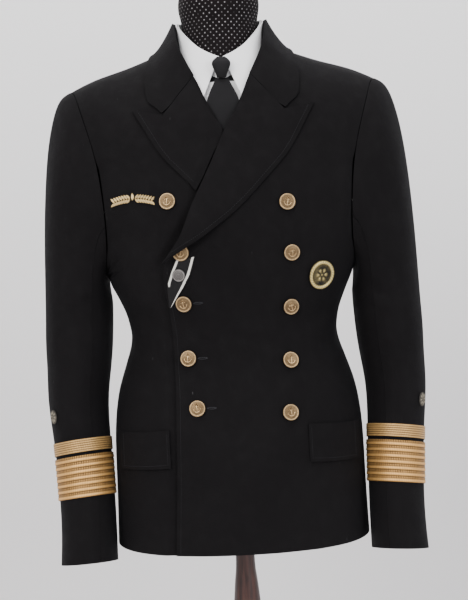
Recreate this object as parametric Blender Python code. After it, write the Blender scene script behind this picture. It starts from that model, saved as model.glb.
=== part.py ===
"""A naval officer's double-breasted jacket with its shirt and tie, on a limbless dress form.

Metres, +Z up. The front faces -Y and the wearer's left side is +X. The origin is on the floor,
under the middle of the stand.

The jacket's panels share one body surface. A place on it is (phi, level): phi is the angle round
the body in degrees, 0 at the middle of the front, 90 at the wearer's left side and 180 at the middle
of the back. Level is the height up to the chest line, and above it the turn over the shoulder.
"""
import math

import bpy
from mathutils import Vector

# Cloth and seams
WOOL = 0.0020
COTTON = 0.0012
SEAM_GAP = 0.0003
LAYER_GAP = 0.0006

# Jacket heights and widths
HEM_Z = 0.787
ARMPIT_Z = 1.158
CHEST_Z = 1.335
RIDGE_LEVEL = 1.450
RIDGE_Y = 0.008
SIDE_SEAM = 93.0
BACK_SEAM = 180.0
ROUND_SIDES = 2.35
ROUND_FRONT = 2.2
ROUND_BACK = 2.8

BODY_COLUMNS = ("height", "half_width", "front_depth", "back_depth")
BODY_SECTIONS = (
    (0.787, 0.1768, 0.132, 0.122),
    (0.850, 0.1750, 0.130, 0.121),
    (0.912, 0.1740, 0.126, 0.118),
    (0.948, 0.1725, 0.122, 0.113),
    (0.984, 0.1680, 0.116, 0.106),
    (1.022, 0.1585, 0.109, 0.098),
    (1.053, 0.1475, 0.104, 0.091),
    (1.080, 0.1430, 0.102, 0.088),
    (1.102, 0.1495, 0.104, 0.090),
    (1.146, 0.1660, 0.112, 0.098),
    (1.200, 0.1890, 0.118, 0.106),
    (1.256, 0.2050, 0.115, 0.110),
    (1.324, 0.2160, 0.104, 0.109),
    (1.450, 0.2350, 0.078, 0.098),
)

# The line of the shoulders seen from the front, from the neck out
RIDGE_COLUMNS = ("out", "height")
RIDGE_LINE = (
    (0.000, 1.4780),
    (0.060, 1.4705),
    (0.092, 1.4605),
    (0.129, 1.4470),
    (0.179, 1.4315),
    (0.212, 1.4165),
    (0.240, 1.4010),
)

# Half of the armhole in front of the armpit and half behind it
ARMHOLE_COLUMNS = ("level", "front_phi", "back_phi")
ARMHOLE = (
    (1.158, 93.0, 93.0),
    (1.167, 72.0, 110.0),
    (1.200, 57.3, 122.0),
    (1.256, 50.8, 129.5),
    (1.324, 50.8, 131.0),
    (1.360, 54.0, 128.0),
    (1.400, 57.8, 123.0),
    (1.450, 60.0, 120.0),
)

# The wearer's left front, which buttons over the right: its edge, then the fold line of its lapel
EDGE_COLUMNS = ("across", "height")
FRONT_EDGE = (
    (-0.0910, 0.787),
    (-0.0853, 0.884),
    (-0.0815, 1.000),
    (-0.0820, 1.080),
    (-0.0865, 1.120),
    (-0.0885, 1.178),
)
ROLL_LINE = (
    (-0.0885, 1.178),
    (-0.0640, 1.211),
    (-0.0470, 1.2526),
    (-0.0306, 1.285),
    (-0.0143, 1.318),
    (0.0000, 1.349),
    (0.0190, 1.380),
    (0.0370, 1.4225),
)
LAPEL_EDGE = (
    (-0.0855, 1.1795),
    (-0.0727, 1.187),
    (-0.0532, 1.1985),
    (-0.0366, 1.208),
    (-0.0170, 1.222),
    (0.0048, 1.2376),
    (0.0268, 1.257),
    (0.0484, 1.279),
    (0.0780, 1.310),
    (0.0898, 1.326),
    (0.0990, 1.342),
    (0.1210, 1.380),
)
NOTCH_X = 0.080
NOTCH_Z = 1.372
LAPEL_BULGE = 0.0022

# The right lapel shows only above the place where the left fold line covers it
CROSSING_Z = 1.349
RIGHT_LAPEL_FOOT = ((0.0415, 1.2705), (0.0440, 1.2730))
RIGHT_LAPEL_CLEAR = 0.0020

# Near its foot the lapel rolls out over the second button of the wearer's left front
FOOT_LIFT_COLUMNS = ("share", "lift")
FOOT_LIFT = (
    (0.00, 0.0045),
    (0.03, 0.0070),
    (0.20, 0.0068),
    (0.28, 0.0026),
    (0.40, 0.0),
    (1.00, 0.0),
)

# The collar from the gorge seam at the front to the middle of the back. A turn counts degrees
# over the shoulder, 0 on the front chest line, 90 on the ridge and 180 on the back chest line.
# The fold stands above the seam by the three lift columns.
COLLAR_COLUMNS = ("share", "seam_x", "seam_turn", "lift_x", "lift_y", "lift_z", "edge_x", "edge_turn")
COLLAR = (
    (0.00, 0.0370, 37.5, 0.0000, 0.0000, 0.0010, 0.1000, 27.0),
    (0.15, 0.0520, 47.9, 0.0040, 0.0030, 0.0225, 0.1030, 41.5),
    (0.30, 0.0640, 62.8, -0.0030, 0.0080, 0.0320, 0.1000, 57.4),
    (0.45, 0.0740, 90.0, -0.0095, -0.0020, 0.0350, 0.0925, 90.0),
    (0.62, 0.0640, 115.4, -0.0035, -0.0080, 0.0400, 0.0780, 120.9),
    (0.80, 0.0360, 123.4, 0.0000, -0.0020, 0.0395, 0.0440, 131.0),
    (1.00, 0.0000, 127.1, 0.0000, -0.0010, 0.0390, 0.0000, 134.8),
)

COLLAR_LIFT = 0.0010
STAND_GAP = 0.0012
STAND_INSET = 0.0024

# The sleeve below the armpit, as rings round its bent axis
SLEEVE_COLUMNS = ("height", "out", "fore", "half_width", "half_depth", "tilt_fore", "tilt_out")
SLEEVE_SECTIONS = (
    (1.118, 0.2150, 0.002, 0.0470, 0.066, 0.0, 0.0),
    (1.076, 0.2172, 0.001, 0.0470, 0.065, 1.0, 0.0),
    (1.031, 0.2195, -0.003, 0.0445, 0.061, 4.0, 1.0),
    (0.984, 0.2220, -0.011, 0.0415, 0.057, 8.0, 3.0),
    (0.933, 0.2184, -0.022, 0.0390, 0.054, 10.5, 6.0),
    (0.879, 0.2150, -0.034, 0.0380, 0.052, 11.0, 6.0),
    (0.820, 0.2130, -0.046, 0.0378, 0.052, 11.0, 4.5),
    (0.769, 0.2138, -0.056, 0.0388, 0.053, 11.0, 3.0),
)
CAP_REACH_TOP = 0.110
CAP_REACH_PIT = 0.022
UNDERSLEEVE_FRONT = -60.0
UNDERSLEEVE_BACK = 75.0

# Pocket flaps, buttons and ornaments, all placed on the front
FLAP_IN_X = 0.092
FLAP_OUT_X = 0.162
FLAP_TOP_Z = 0.954
FLAP_DROP = 0.050
FLAP_SLOPE = 0.006
FLAP_GAP = 0.0010
FLAP_COLUMNS = 9

BUTTON_COLUMNS = ("row", "right_x", "right_z", "left_x", "left_z")
BUTTONS = (
    (1, -0.0793, 1.2577, 0.0776, 1.2497),
    (2, -0.0649, 1.1895, 0.0806, 1.1831),
    (3, -0.0646, 1.1215, 0.0767, 1.1110),
    (4, -0.0621, 1.0476, 0.0729, 1.0392),
    (5, -0.0533, 0.9820, 0.0692, 0.9709),
)
BUTTON_RADIUS = 0.0109
BUTTON_HEIGHT = 0.0060
BUTTON_SEAT = 0.0001

SPRAY_X = 0.1255
SPRAY_Z = 1.262
SPRAY_LENGTH = 0.062
SPRAY_HEIGHT = 0.016
BADGE_X = 0.120
BADGE_Z = 1.1506
BADGE_RADIUS = 0.0200
CUFF_BADGE_RADIUS = 0.0100
CUFF_BADGE_Z = 0.968
RIBBON_COLUMNS = ("left_x", "left_z", "right_x", "right_z")
RIBBON = (
    (-0.0725, 1.1795, -0.0470, 1.1835),
    (-0.0795, 1.1650, -0.0545, 1.1600),
    (-0.0850, 1.1500, -0.0638, 1.1435),
    (-0.0850, 1.1350, -0.0740, 1.1290),
    (-0.0845, 1.1175, -0.0825, 1.1165),
)
RIBBON_THICKNESS = 0.0008
CLASP_X = -0.0690
CLASP_Z = 1.1600
CLASP_RADIUS = 0.0085

# Gold lace round each cuff
LACE_COLUMNS = ("name", "top", "bottom")
LACE = (
    ("narrow", 0.9330, 0.9155),
    ("wide", 0.9115, 0.8560),
)
LACE_THICKNESS = 0.0012

# Shirt and tie
BIB_DEPTH = -0.0096
BIB_BOTTOM_Z = 1.235
BIB_TOP_Z = 1.412
BIB_HALF_WIDTH = 0.052
BIB_ROWS = 11
SHIRT_COLUMNS = ("share", "top_x", "top_y", "top_z", "low_x", "low_y", "low_z")
SHIRT_COLLAR = (
    (0.00, 0.0025, -0.0635, 1.4490, 0.0265, -0.0855, 1.3920),
    (0.12, 0.0230, -0.0590, 1.4590, 0.0370, -0.0725, 1.4130),
    (0.25, 0.0400, -0.0490, 1.4730, 0.0480, -0.0600, 1.4330),
    (0.50, 0.0580, -0.0200, 1.4950, 0.0592, -0.0260, 1.4600),
    (0.62, 0.0600, 0.0060, 1.5040, 0.0602, 0.0060, 1.4720),
    (0.75, 0.0530, 0.0345, 1.5070, 0.0532, 0.0347, 1.4760),
    (0.87, 0.0320, 0.0565, 1.5090, 0.0322, 0.0567, 1.4780),
    (1.00, 0.0000, 0.0650, 1.5100, 0.0000, 0.0652, 1.4780),
)
BAND_GAP = 0.0016
TIE_COLUMNS = ("height", "half_width", "out")
TIE_BLADE = (
    (1.2300, 0.0360, -0.0068),
    (1.2600, 0.0345, -0.0068),
    (1.2900, 0.0328, -0.0068),
    (1.3200, 0.0310, -0.0068),
    (1.3400, 0.0291, -0.0065),
    (1.3600, 0.0270, -0.0058),
    (1.3800, 0.0235, -0.0034),
    (1.3950, 0.0195, -0.0018),
    (1.4080, 0.0130, 0.0003),
    (1.4180, 0.0080, 0.0015),
)
KNOT_COLUMNS = ("height", "half_width", "front_y", "back_y")
TIE_KNOT = (
    (1.4190, 0.0062, -0.0850, -0.0765),
    (1.4260, 0.0084, -0.0862, -0.0745),
    (1.4340, 0.0118, -0.0853, -0.0722),
    (1.4410, 0.0116, -0.0830, -0.0704),
    (1.4470, 0.0058, -0.0765, -0.0690),
)

# Dress form
FORM_BOTTOM_Z = 0.860
FORM_INSET = 0.0128
FORM_ARM_X = 0.163
FORM_RIDGE_DROP = 0.0043
NECK_COLUMNS = ("height", "radius")
NECK = (
    (1.4300, 0.0525),
    (1.4600, 0.0525),
    (1.4900, 0.0525),
    (1.5080, 0.0535),
    (1.5220, 0.0560),
    (1.5380, 0.0545),
    (1.5520, 0.0480),
    (1.5600, 0.0360),
    (1.5640, 0.0190),
    (1.5650, 0.0),
)
NECK_DEEPER = 1.04
NECK_Y = 0.003
POLE_COLUMNS = ("height", "radius")
POLE = (
    (0.0303, 0.0360),
    (0.0400, 0.0360),
    (0.0480, 0.0260),
    (0.0620, 0.0215),
    (0.1200, 0.0210),
    (0.3000, 0.0260),
    (0.4500, 0.0285),
    (0.5600, 0.0270),
    (0.6400, 0.0225),
    (0.6900, 0.0187),
    (0.7250, 0.0155),
    (0.7560, 0.0133),
    (0.8597, 0.0130),
)
FOOT_COLUMNS = ("height", "radius")
FOOT = (
    (0.0, 0.190),
    (0.012, 0.190),
    (0.022, 0.182),
    (0.028, 0.120),
    (0.030, 0.048),
)


def between(low, high, share):
    """The value at a share of the way from low to high."""
    return low + (high - low) * share


def ease(share):
    """A soft step from 0 to 1."""
    share = min(max(share, 0.0), 1.0)
    return share * share * (3.0 - 2.0 * share)


def smooth_at(rows, key, column):
    """Reads one column of a table between its rows, along a smooth curve."""
    last = len(rows) - 1
    i = 0
    while i < last - 1 and key > rows[i + 1][0]:
        i += 1

    def slope(k):
        before = rows[max(k - 1, 0)]
        after = rows[min(k + 1, last)]
        return (after[column] - before[column]) / (after[0] - before[0])

    span = rows[i + 1][0] - rows[i][0]
    t = min(max((key - rows[i][0]) / span, 0.0), 1.0)
    start = rows[i][column]
    end = rows[i + 1][column]
    rise = end - start
    a = slope(i) * span
    b = slope(i + 1) * span
    return start + a * t + (3 * rise - 2 * a - b) * t ** 2 + (a + b - 2 * rise) * t ** 3


def rounded(angle, power):
    """Sideways and forward parts of a unit rounded square at an angle in degrees."""
    side = math.sin(math.radians(angle))
    ahead = math.cos(math.radians(angle))
    size = (abs(side) ** power + abs(ahead) ** power) ** (-1.0 / power)
    return side * size, ahead * size


def ridge_z(x):
    """Height of the shoulder line at a distance from the middle."""
    return smooth_at(RIDGE_LINE, abs(x), 1)


def turn_of(level):
    """Degrees over the shoulder at a level above the chest line."""
    return 90.0 * max(level - CHEST_Z, 0.0) / (RIDGE_LEVEL - CHEST_Z)


def level_of(turn):
    """The level at a turn over the shoulder, counted from the front or the back."""
    return CHEST_Z + min(turn, 180.0 - turn) / 90.0 * (RIDGE_LEVEL - CHEST_Z)


def torso_position(phi, level, inset=0.0, widest=1.0, ridge_drop=0.0):
    """A point of the torso's surface, drawn in by an inset for what lies inside it."""
    side, ahead = rounded(phi, ROUND_SIDES)
    depth_column = 2 if ahead >= 0.0 else 3
    x = min(smooth_at(BODY_SECTIONS, level, 1) - inset, widest) * side
    y = -(smooth_at(BODY_SECTIONS, level, depth_column) - inset) * ahead
    z = level
    turn = turn_of(level)
    if turn > 0.0:
        rise, run = rounded(turn, ROUND_FRONT if ahead >= 0.0 else ROUND_BACK)
        z = CHEST_Z + (ridge_z(x) - ridge_drop - CHEST_Z) * rise
        y = y * run + RIDGE_Y * (turn / 90.0) ** 2
    return Vector((x, y, z))


def torso_normal(phi, level):
    """The outward direction of the jacket's surface."""
    across = torso_position(phi + 0.5, level) - torso_position(phi - 0.5, level)
    up = torso_position(phi, level + 0.001) - torso_position(phi, level - 0.001)
    return across.cross(up).normalized()


def on_jacket(place, out=0.0):
    """A point at a distance outside the jacket's surface."""
    return torso_position(*place) + torso_normal(*place) * out


def phi_at(x, level, back=False):
    """The angle round the body of a distance from the middle."""
    share = min(abs(x) / smooth_at(BODY_SECTIONS, level, 1), 0.9999) ** ROUND_SIDES
    phi = math.degrees(math.atan((share / (1.0 - share)) ** (1.0 / ROUND_SIDES)))
    if back:
        phi = 180.0 - phi
    return math.copysign(phi, x)


def front_place(x, z):
    """The place on the front of the jacket seen at x and z."""
    if z <= CHEST_Z:
        return phi_at(x, z), z
    rise = min((z - CHEST_Z) / (ridge_z(x) - CHEST_Z), 0.99999)
    run = (1.0 - rise ** ROUND_FRONT) ** (1.0 / ROUND_FRONT)
    level = level_of(math.degrees(math.atan2(rise, run)))
    return phi_at(x, level), level


def shoulder_place(x, turn, back=False):
    """The place at x and at a turn over the shoulder."""
    level = level_of(turn)
    return phi_at(x, level, back or turn > 90.0), level


def place_between(low, high, share):
    """A place between two others."""
    return between(low[0], high[0], share), between(low[1], high[1], share)


def points_along(points, shares):
    """Points at shares of the length of a smooth curve through a few plane points."""
    rows = []
    travelled = 0.0
    for i, point in enumerate(points):
        if i:
            travelled += math.dist(point, points[i - 1])
        rows.append((travelled,) + tuple(point))
    steps = [travelled * share for share in shares]
    return [tuple(smooth_at(rows, step, c + 1) for c in range(len(points[0]))) for step in steps]


def even_places(places, count):
    """Places of equal spacing on the jacket along a smooth curve through a few places."""
    rows = []
    travelled = 0.0
    for i, place in enumerate(places):
        if i:
            travelled += (on_jacket(place) - on_jacket(places[i - 1])).length
        rows.append((travelled,) + tuple(place))
    steps = [travelled * i / (count - 1) for i in range(count)]
    return [(smooth_at(rows, step, 1), smooth_at(rows, step, 2)) for step in steps]


def material(name, colour, roughness, metallic=0.0):
    """A plain surface finish."""
    made = bpy.data.materials.new(name)
    made.use_nodes = True
    shader = made.node_tree.nodes["Principled BSDF"]
    shader.inputs["Base Color"].default_value = (*colour, 1.0)
    shader.inputs["Roughness"].default_value = roughness
    shader.inputs["Metallic"].default_value = metallic
    made.diffuse_color = (*colour, 1.0)
    return made


def add_mesh(name, points, faces, finish, mirrored=False):
    """One named solid from its points and faces."""
    if mirrored:
        points = [(-p[0], p[1], p[2]) for p in points]
        faces = [tuple(reversed(face)) for face in faces]
    mesh = bpy.data.meshes.new(name)
    mesh.from_pydata([tuple(p) for p in points], [], faces)
    mesh.shade_smooth()
    mesh.set_sharp_from_angle(angle=math.radians(40))
    mesh.materials.append(finish)
    mesh.update()
    made = bpy.data.objects.new(name, mesh)
    bpy.context.scene.collection.objects.link(made)
    return made


def add_wall(name, outer, inner, finish, mirrored=False, ring=False):
    """A cloth wall between two grids of points. A ring closes each row on itself."""
    rows = len(outer)
    columns = len(outer[0])
    points = [p for row in outer for p in row] + [p for row in inner for p in row]
    under = rows * columns
    faces = []
    for r in range(rows - 1):
        for c in range(columns if ring else columns - 1):
            d = (c + 1) % columns
            a = r * columns
            b = a + columns
            faces.append((a + c, a + d, b + d, b + c))
            faces.append((under + a + c, under + b + c, under + b + d, under + a + d))
    top = (rows - 1) * columns
    for c in range(columns if ring else columns - 1):
        d = (c + 1) % columns
        faces.append((c, under + c, under + d, d))
        faces.append((top + c, top + d, under + top + d, under + top + c))
    if not ring:
        last = columns - 1
        for r in range(rows - 1):
            a = r * columns
            b = a + columns
            faces.append((a, b, under + b, under + a))
            faces.append((a + last, under + a + last, under + b + last, b + last))
    return add_mesh(name, points, faces, finish, mirrored)


def add_panel(name, places, outs, thickness, finish, mirrored=False):
    """A cloth wall that follows the jacket's surface, from a grid of places and distances out."""
    outer = []
    inner = []
    for row, row_outs in zip(places, outs):
        outer.append([on_jacket(place, out) for place, out in zip(row, row_outs)])
        inner.append([on_jacket(place, out - thickness) for place, out in zip(row, row_outs)])
    return add_wall(name, outer, inner, finish, mirrored)


def add_surface(name, at, rows, columns, thickness, finish, mirrored=False):
    """A cloth wall under a surface given by a function of two shares, along and across."""
    step = 0.01
    outer = []
    inner = []
    for r in range(rows):
        along = r / (rows - 1)
        outer_row = []
        inner_row = []
        for c in range(columns):
            across = c / (columns - 1)
            a = at(min(along + step, 1.0), across) - at(max(along - step, 0.0), across)
            b = at(along, min(across + step, 1.0)) - at(along, max(across - step, 0.0))
            normal = b.cross(a).normalized()
            point = at(along, across)
            outer_row.append(point)
            inner_row.append(point - normal * thickness)
        outer.append(outer_row)
        inner.append(inner_row)
    return add_wall(name, outer, inner, finish, mirrored)


def add_turned(name, profile, segments, finish, frame=None):
    """A solid turned about an axis from rows of radius and height. Frame places its points."""
    points = []
    faces = []
    rings = []
    for radius, height in profile:
        if radius == 0.0:
            rings.append([len(points)])
            points.append(Vector((0.0, 0.0, height)))
            continue
        rings.append(list(range(len(points), len(points) + segments)))
        for s in range(segments):
            angle = math.tau * s / segments
            points.append(Vector((radius * math.cos(angle), radius * math.sin(angle), height)))
    for low, high in zip(rings, rings[1:]):
        for s in range(segments):
            t = (s + 1) % segments
            if len(low) == 1:
                faces.append((low[0], high[t], high[s]))
            elif len(high) == 1:
                faces.append((low[s], low[t], high[0]))
            else:
                faces.append((low[s], low[t], high[t], high[s]))
    if len(rings[0]) > 1:
        faces.append(tuple(reversed(rings[0])))
    if len(rings[-1]) > 1:
        faces.append(tuple(rings[-1]))
    if frame:
        points = [frame(p) for p in points]
    return add_mesh(name, points, faces, finish)


# How finely each piece is divided
LOW_ROWS = 10
HIGH_ROWS = 13
PANEL_COLUMNS = 12
UNDER_COLUMN = 5
SHOULDER_COLUMN = 6
LAPEL_SHARES = (0.0, 0.03, 0.06, 0.10, 0.15, 0.21, 0.28, 0.37, 0.46, 0.55, 0.64, 0.73, 0.82, 0.91, 1.0)
LAPEL_COLUMNS = 9
LAPEL_NOTCH_COLUMN = 5
COLLAR_ROWS = 23
COLLAR_SPAN_COLUMNS = 7
SLEEVE_ROWS = 17
CAP_SHARE = 0.42
SEAM_PHI = 0.05
SEAM_PSI = 0.2
RIDGE_TRIM = 0.0003
TUCK_WIDTH = 0.012
TUCK_MARGIN = 0.003
STACK = LAYER_GAP + WOOL
UNDER_DEPTH = 0.0034


def edge_x(z):
    """Where the left front's edge, or the fold of its lapel, lies at a height."""
    rows = [(height, x) for x, height in FRONT_EDGE + ROLL_LINE[1:]]
    return smooth_at(rows, z, 1)


def neck_seam(first, last, back=False):
    """Places along the neck seam, for rows of the collar's table."""
    return [shoulder_place(row[1], row[2], back) for row in COLLAR[first:last]]


def front_places():
    """The grid of places of a front, from its hem to the shoulder seam."""
    grid = []
    for r in range(LOW_ROWS):
        z = between(HEM_Z, ARMPIT_Z, r / LOW_ROWS)
        inner = (phi_at(edge_x(z), z), z)
        outer = (SIDE_SEAM - SEAM_PHI, z)
        grid.append((inner, outer))
    fold = [(phi_at(edge_x(ARMPIT_Z), ARMPIT_Z), ARMPIT_Z)]
    fold += [front_place(x, z) for x, z in ROLL_LINE]
    fold += neck_seam(1, 4)
    fold[-1] = (fold[-1][0], RIDGE_LEVEL - RIDGE_TRIM)
    armhole = [(phi, level) for level, phi, back_phi in ARMHOLE]
    armhole[0] = (SIDE_SEAM - SEAM_PHI, ARMPIT_Z)
    armhole[-1] = (armhole[-1][0], RIDGE_LEVEL - RIDGE_TRIM)
    grid += list(zip(even_places(fold, HIGH_ROWS), even_places(armhole, HIGH_ROWS)))
    rows = []
    for inner, outer in grid:
        shares = front_shares(inner, outer)
        rows.append([place_between(inner, outer, share) for share in shares])
    return rows


def front_shares(inner, outer):
    """Where the columns of a front lie along one row. Two of them frame the step of the tuck."""
    least = 0.025

    def share_past(beyond):
        """The share at which the row is a distance past the other front's edge."""
        low = 0.0
        high = 0.9
        for step in range(30):
            middle = (low + high) / 2.0
            point = torso_position(*place_between(inner, outer, middle))
            if point.x + edge_x(point.z) < beyond:
                low = middle
            else:
                high = middle
        return low

    under = max(share_past(TUCK_MARGIN), least * UNDER_COLUMN)
    clear = max(share_past(TUCK_MARGIN + TUCK_WIDTH), under + least)
    shares = [under * c / UNDER_COLUMN for c in range(UNDER_COLUMN + 1)]
    rest = PANEL_COLUMNS - UNDER_COLUMN - 2
    return shares + [between(clear, 1.0, c / rest) for c in range(rest + 1)]


def tuck(x, z, depth):
    """How far the right front drops to pass under the left one, in its own mirrored frame."""
    return -depth * ease((TUCK_MARGIN + TUCK_WIDTH - edge_x(z) - x) / TUCK_WIDTH)


def add_fronts(wool):
    """The left front on top and the right front under it."""
    places = front_places()
    flat = [[0.0] * PANEL_COLUMNS for row in places]
    add_panel("front_left", places, flat, WOOL, wool)
    tucked = []
    for row in places:
        seen = [torso_position(*place) for place in row]
        tucked.append([tuck(point.x, point.z, UNDER_DEPTH) for point in seen])
    add_panel("front_right", places, tucked, WOOL, wool, mirrored=True)


def back_places():
    """The grid of places of a back, from the side seam to the middle seam."""
    middle = BACK_SEAM - SEAM_PHI
    grid = []
    for r in range(LOW_ROWS):
        z = between(HEM_Z, ARMPIT_Z, r / LOW_ROWS)
        grid.append(((SIDE_SEAM + SEAM_PHI, z), (middle, z)))
    shares = [c / (PANEL_COLUMNS - 1) for c in range(PANEL_COLUMNS)]
    rows = [[place_between(outer, inner, share) for share in shares] for outer, inner in grid]
    armhole = [(phi, level) for level, front_phi, phi in ARMHOLE]
    armhole[0] = (SIDE_SEAM + SEAM_PHI, ARMPIT_Z)
    armhole[-1] = (armhole[-1][0], RIDGE_LEVEL - RIDGE_TRIM)
    neck = neck_seam(3, 7, back=True)
    neck[0] = (neck[0][0], RIDGE_LEVEL - RIDGE_TRIM)
    neck[-1] = (middle, neck[-1][1])
    spine = [(middle, ARMPIT_Z), (middle, CHEST_Z), neck[-1]]
    shoulder = [place_between(armhole[-1], neck[0], c / SHOULDER_COLUMN) for c in range(SHOULDER_COLUMN)]
    top = shoulder + even_places(neck, PANEL_COLUMNS - SHOULDER_COLUMN)
    sides = even_places(armhole, HIGH_ROWS)
    middles = even_places(spine, HIGH_ROWS)
    for r in range(HIGH_ROWS):
        fade = (r / (HIGH_ROWS - 1)) ** 3
        row = []
        for c, share in enumerate(shares):
            plain = place_between(sides[r], middles[r], share)
            straight = place_between(sides[-1], middles[-1], share)
            row.append((plain[0] + (top[c][0] - straight[0]) * fade,
                        plain[1] + (top[c][1] - straight[1]) * fade))
        rows.append(row)
    return rows


def add_backs(wool):
    """The two backs, joined down the middle."""
    places = back_places()
    flat = [[0.0] * PANEL_COLUMNS for row in places]
    add_panel("back_left", places, flat, WOOL, wool)
    add_panel("back_right", places, flat, WOOL, wool, mirrored=True)


def lapel_grid(fold, edge):
    """Seen points of a lapel, with its top edge broken at the notch."""
    folds = points_along(fold, LAPEL_SHARES)
    edges = points_along(edge, LAPEL_SHARES)
    gorge = folds[-1]
    peak = edges[-1]
    notch = (NOTCH_X, NOTCH_Z - SEAM_GAP)
    top = []
    for c in range(LAPEL_COLUMNS):
        if c <= LAPEL_NOTCH_COLUMN:
            top.append(place_between(gorge, notch, c / LAPEL_NOTCH_COLUMN))
        else:
            rest = (c - LAPEL_NOTCH_COLUMN) / (LAPEL_COLUMNS - 1 - LAPEL_NOTCH_COLUMN)
            top.append(place_between(notch, peak, rest))
    grid = []
    for r, along in enumerate(LAPEL_SHARES):
        fade = along ** 4
        row = []
        for c in range(LAPEL_COLUMNS):
            share = c / (LAPEL_COLUMNS - 1)
            plain = place_between(folds[r], edges[r], share)
            straight = place_between(gorge, peak, share)
            row.append((plain[0] + (top[c][0] - straight[0]) * fade,
                        plain[1] + (top[c][1] - straight[1]) * fade))
        grid.append(row)
    return grid


def add_lapels(wool):
    """The left lapel, and the part of the right one that the left front leaves in sight."""
    seen = lapel_grid(ROLL_LINE, LAPEL_EDGE)
    places = [[front_place(x, z) for x, z in row] for row in seen]
    outs = []
    for along in LAPEL_SHARES:
        lift = smooth_at(FOOT_LIFT, along, 1)
        bulges = [math.sin(math.pi * c / (LAPEL_COLUMNS - 1)) for c in range(LAPEL_COLUMNS)]
        outs.append([STACK + lift + LAPEL_BULGE * bulge for bulge in bulges])
    add_panel("lapel_left", places, outs, WOOL, wool)

    fold = [RIGHT_LAPEL_FOOT[0]]
    fold += [(RIGHT_LAPEL_CLEAR - x, z) for x, z in ROLL_LINE if fold[0][1] < z < CROSSING_Z]
    fold += [(x + RIGHT_LAPEL_CLEAR, z - RIGHT_LAPEL_CLEAR) for x, z in ROLL_LINE if z >= CROSSING_Z]
    edge = [RIGHT_LAPEL_FOOT[1]] + [(x, z) for x, z in LAPEL_EDGE if z > RIGHT_LAPEL_FOOT[1][1] + 0.002]
    seen = lapel_grid(fold, edge)
    places = [[front_place(x, z) for x, z in row] for row in seen]
    outs = [[STACK + tuck(x, z, STACK) for x, z in row] for row in seen]
    add_panel("lapel_right", places, outs, WOOL, wool, mirrored=True)


def collar_share(along):
    """A place along the whole collar as the share of its half, and which side it is on."""
    return (2.0 * along, 1.0) if along <= 0.5 else (2.0 - 2.0 * along, -1.0)


def collar_seam_place(share):
    """The neck seam at a share of the collar's half."""
    turn = smooth_at(COLLAR, share, 2)
    return shoulder_place(smooth_at(COLLAR, share, 1), turn, turn > 90.0)


def collar_fall_at(along, across):
    """The outside of the collar's fall, from its fold to its outer edge."""
    share, side = collar_share(along)
    seam_x = smooth_at(COLLAR, share, 1)
    seam_turn = smooth_at(COLLAR, share, 2)
    edge_x_here = smooth_at(COLLAR, share, 6)
    edge_turn = smooth_at(COLLAR, share, 7)
    x = between(seam_x, edge_x_here, across)
    turn = between(seam_turn, edge_turn, across)
    corner = ease(1.0 - share / 0.16)
    if corner > 0.0:
        notch = front_place(NOTCH_X, NOTCH_Z + SEAM_GAP)
        notch_turn = turn_of(notch[1])
        meet = LAPEL_NOTCH_COLUMN / (LAPEL_COLUMNS - 1)
        bend = min(across / meet, (1.0 - across) / (1.0 - meet))
        x += (NOTCH_X - between(COLLAR[0][1], COLLAR[0][6], meet)) * bend * corner
        turn += (notch_turn - between(COLLAR[0][2], COLLAR[0][7], meet)) * bend * corner
    lift = Vector([smooth_at(COLLAR, share, c) for c in (3, 4, 5)])
    point = on_jacket(shoulder_place(x, turn, turn > 90.0), STACK + COLLAR_LIFT * ease(share / 0.15))
    point += lift * (1.0 - across) ** 2
    point.x *= side
    return point


def collar_stand_at(along, across):
    """The outside of the collar's stand, from just under the fold down to the neck seam."""
    inner_share = between(0.10, 0.90, along)
    share, side = collar_share(inner_share)
    fold = collar_fall_at(inner_share, 0.0)
    toward = collar_fall_at(inner_share, 0.02) - fold
    ahead = collar_fall_at(inner_share + 0.01, 0.0) - collar_fall_at(inner_share - 0.01, 0.0)
    outward = toward.cross(ahead).normalized()
    top = fold - outward * (WOOL + STAND_GAP) - Vector((0.0, 0.0, STAND_GAP))
    seam = on_jacket(collar_seam_place(share), 0.0)
    seam.x *= side
    inward = Vector((-seam.x, -seam.y, 0.0)).normalized()
    foot = seam + inward * STAND_INSET + Vector((0.0, 0.0, STAND_GAP))
    return top.lerp(foot, across)


def add_collar(wool):
    """The fall that shows and the stand that carries it round the neck."""
    add_surface("collar_fall", collar_fall_at, COLLAR_ROWS, COLLAR_SPAN_COLUMNS, WOOL, wool)
    add_surface("collar_stand", collar_stand_at, COLLAR_ROWS, 3, WOOL - LAYER_GAP, wool)


def armhole_place(psi):
    """The armhole seam at an angle round the sleeve, 0 at the armpit and 180 at the top."""
    column = 1 if psi < 0.0 else 2
    rows = []
    travelled = 0.0
    for i, row in enumerate(ARMHOLE):
        place = (row[column], row[0])
        if i:
            travelled += (torso_position(*place) - torso_position(*last)).length
        rows.append((travelled,) + place)
        last = place
    reached = travelled * min(abs(psi) / 180.0, 1.0)
    return smooth_at(rows, reached, 1), smooth_at(rows, reached, 2)


def sleeve_ring(height, psi, out=0.0):
    """A point of the sleeve below the armpit, at an angle round it and a distance outside."""
    rows = SLEEVE_SECTIONS[::-1]
    centre_x, centre_y, half_width, half_depth, fore, outer = (
        smooth_at(rows, height, c) for c in range(1, 7))
    x = -(half_width + out) * math.cos(math.radians(psi))
    y = (half_depth + out) * math.sin(math.radians(psi))
    z = height - y * math.tan(math.radians(fore)) - x * math.tan(math.radians(outer))
    return Vector((centre_x + x, centre_y + y, z))


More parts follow.
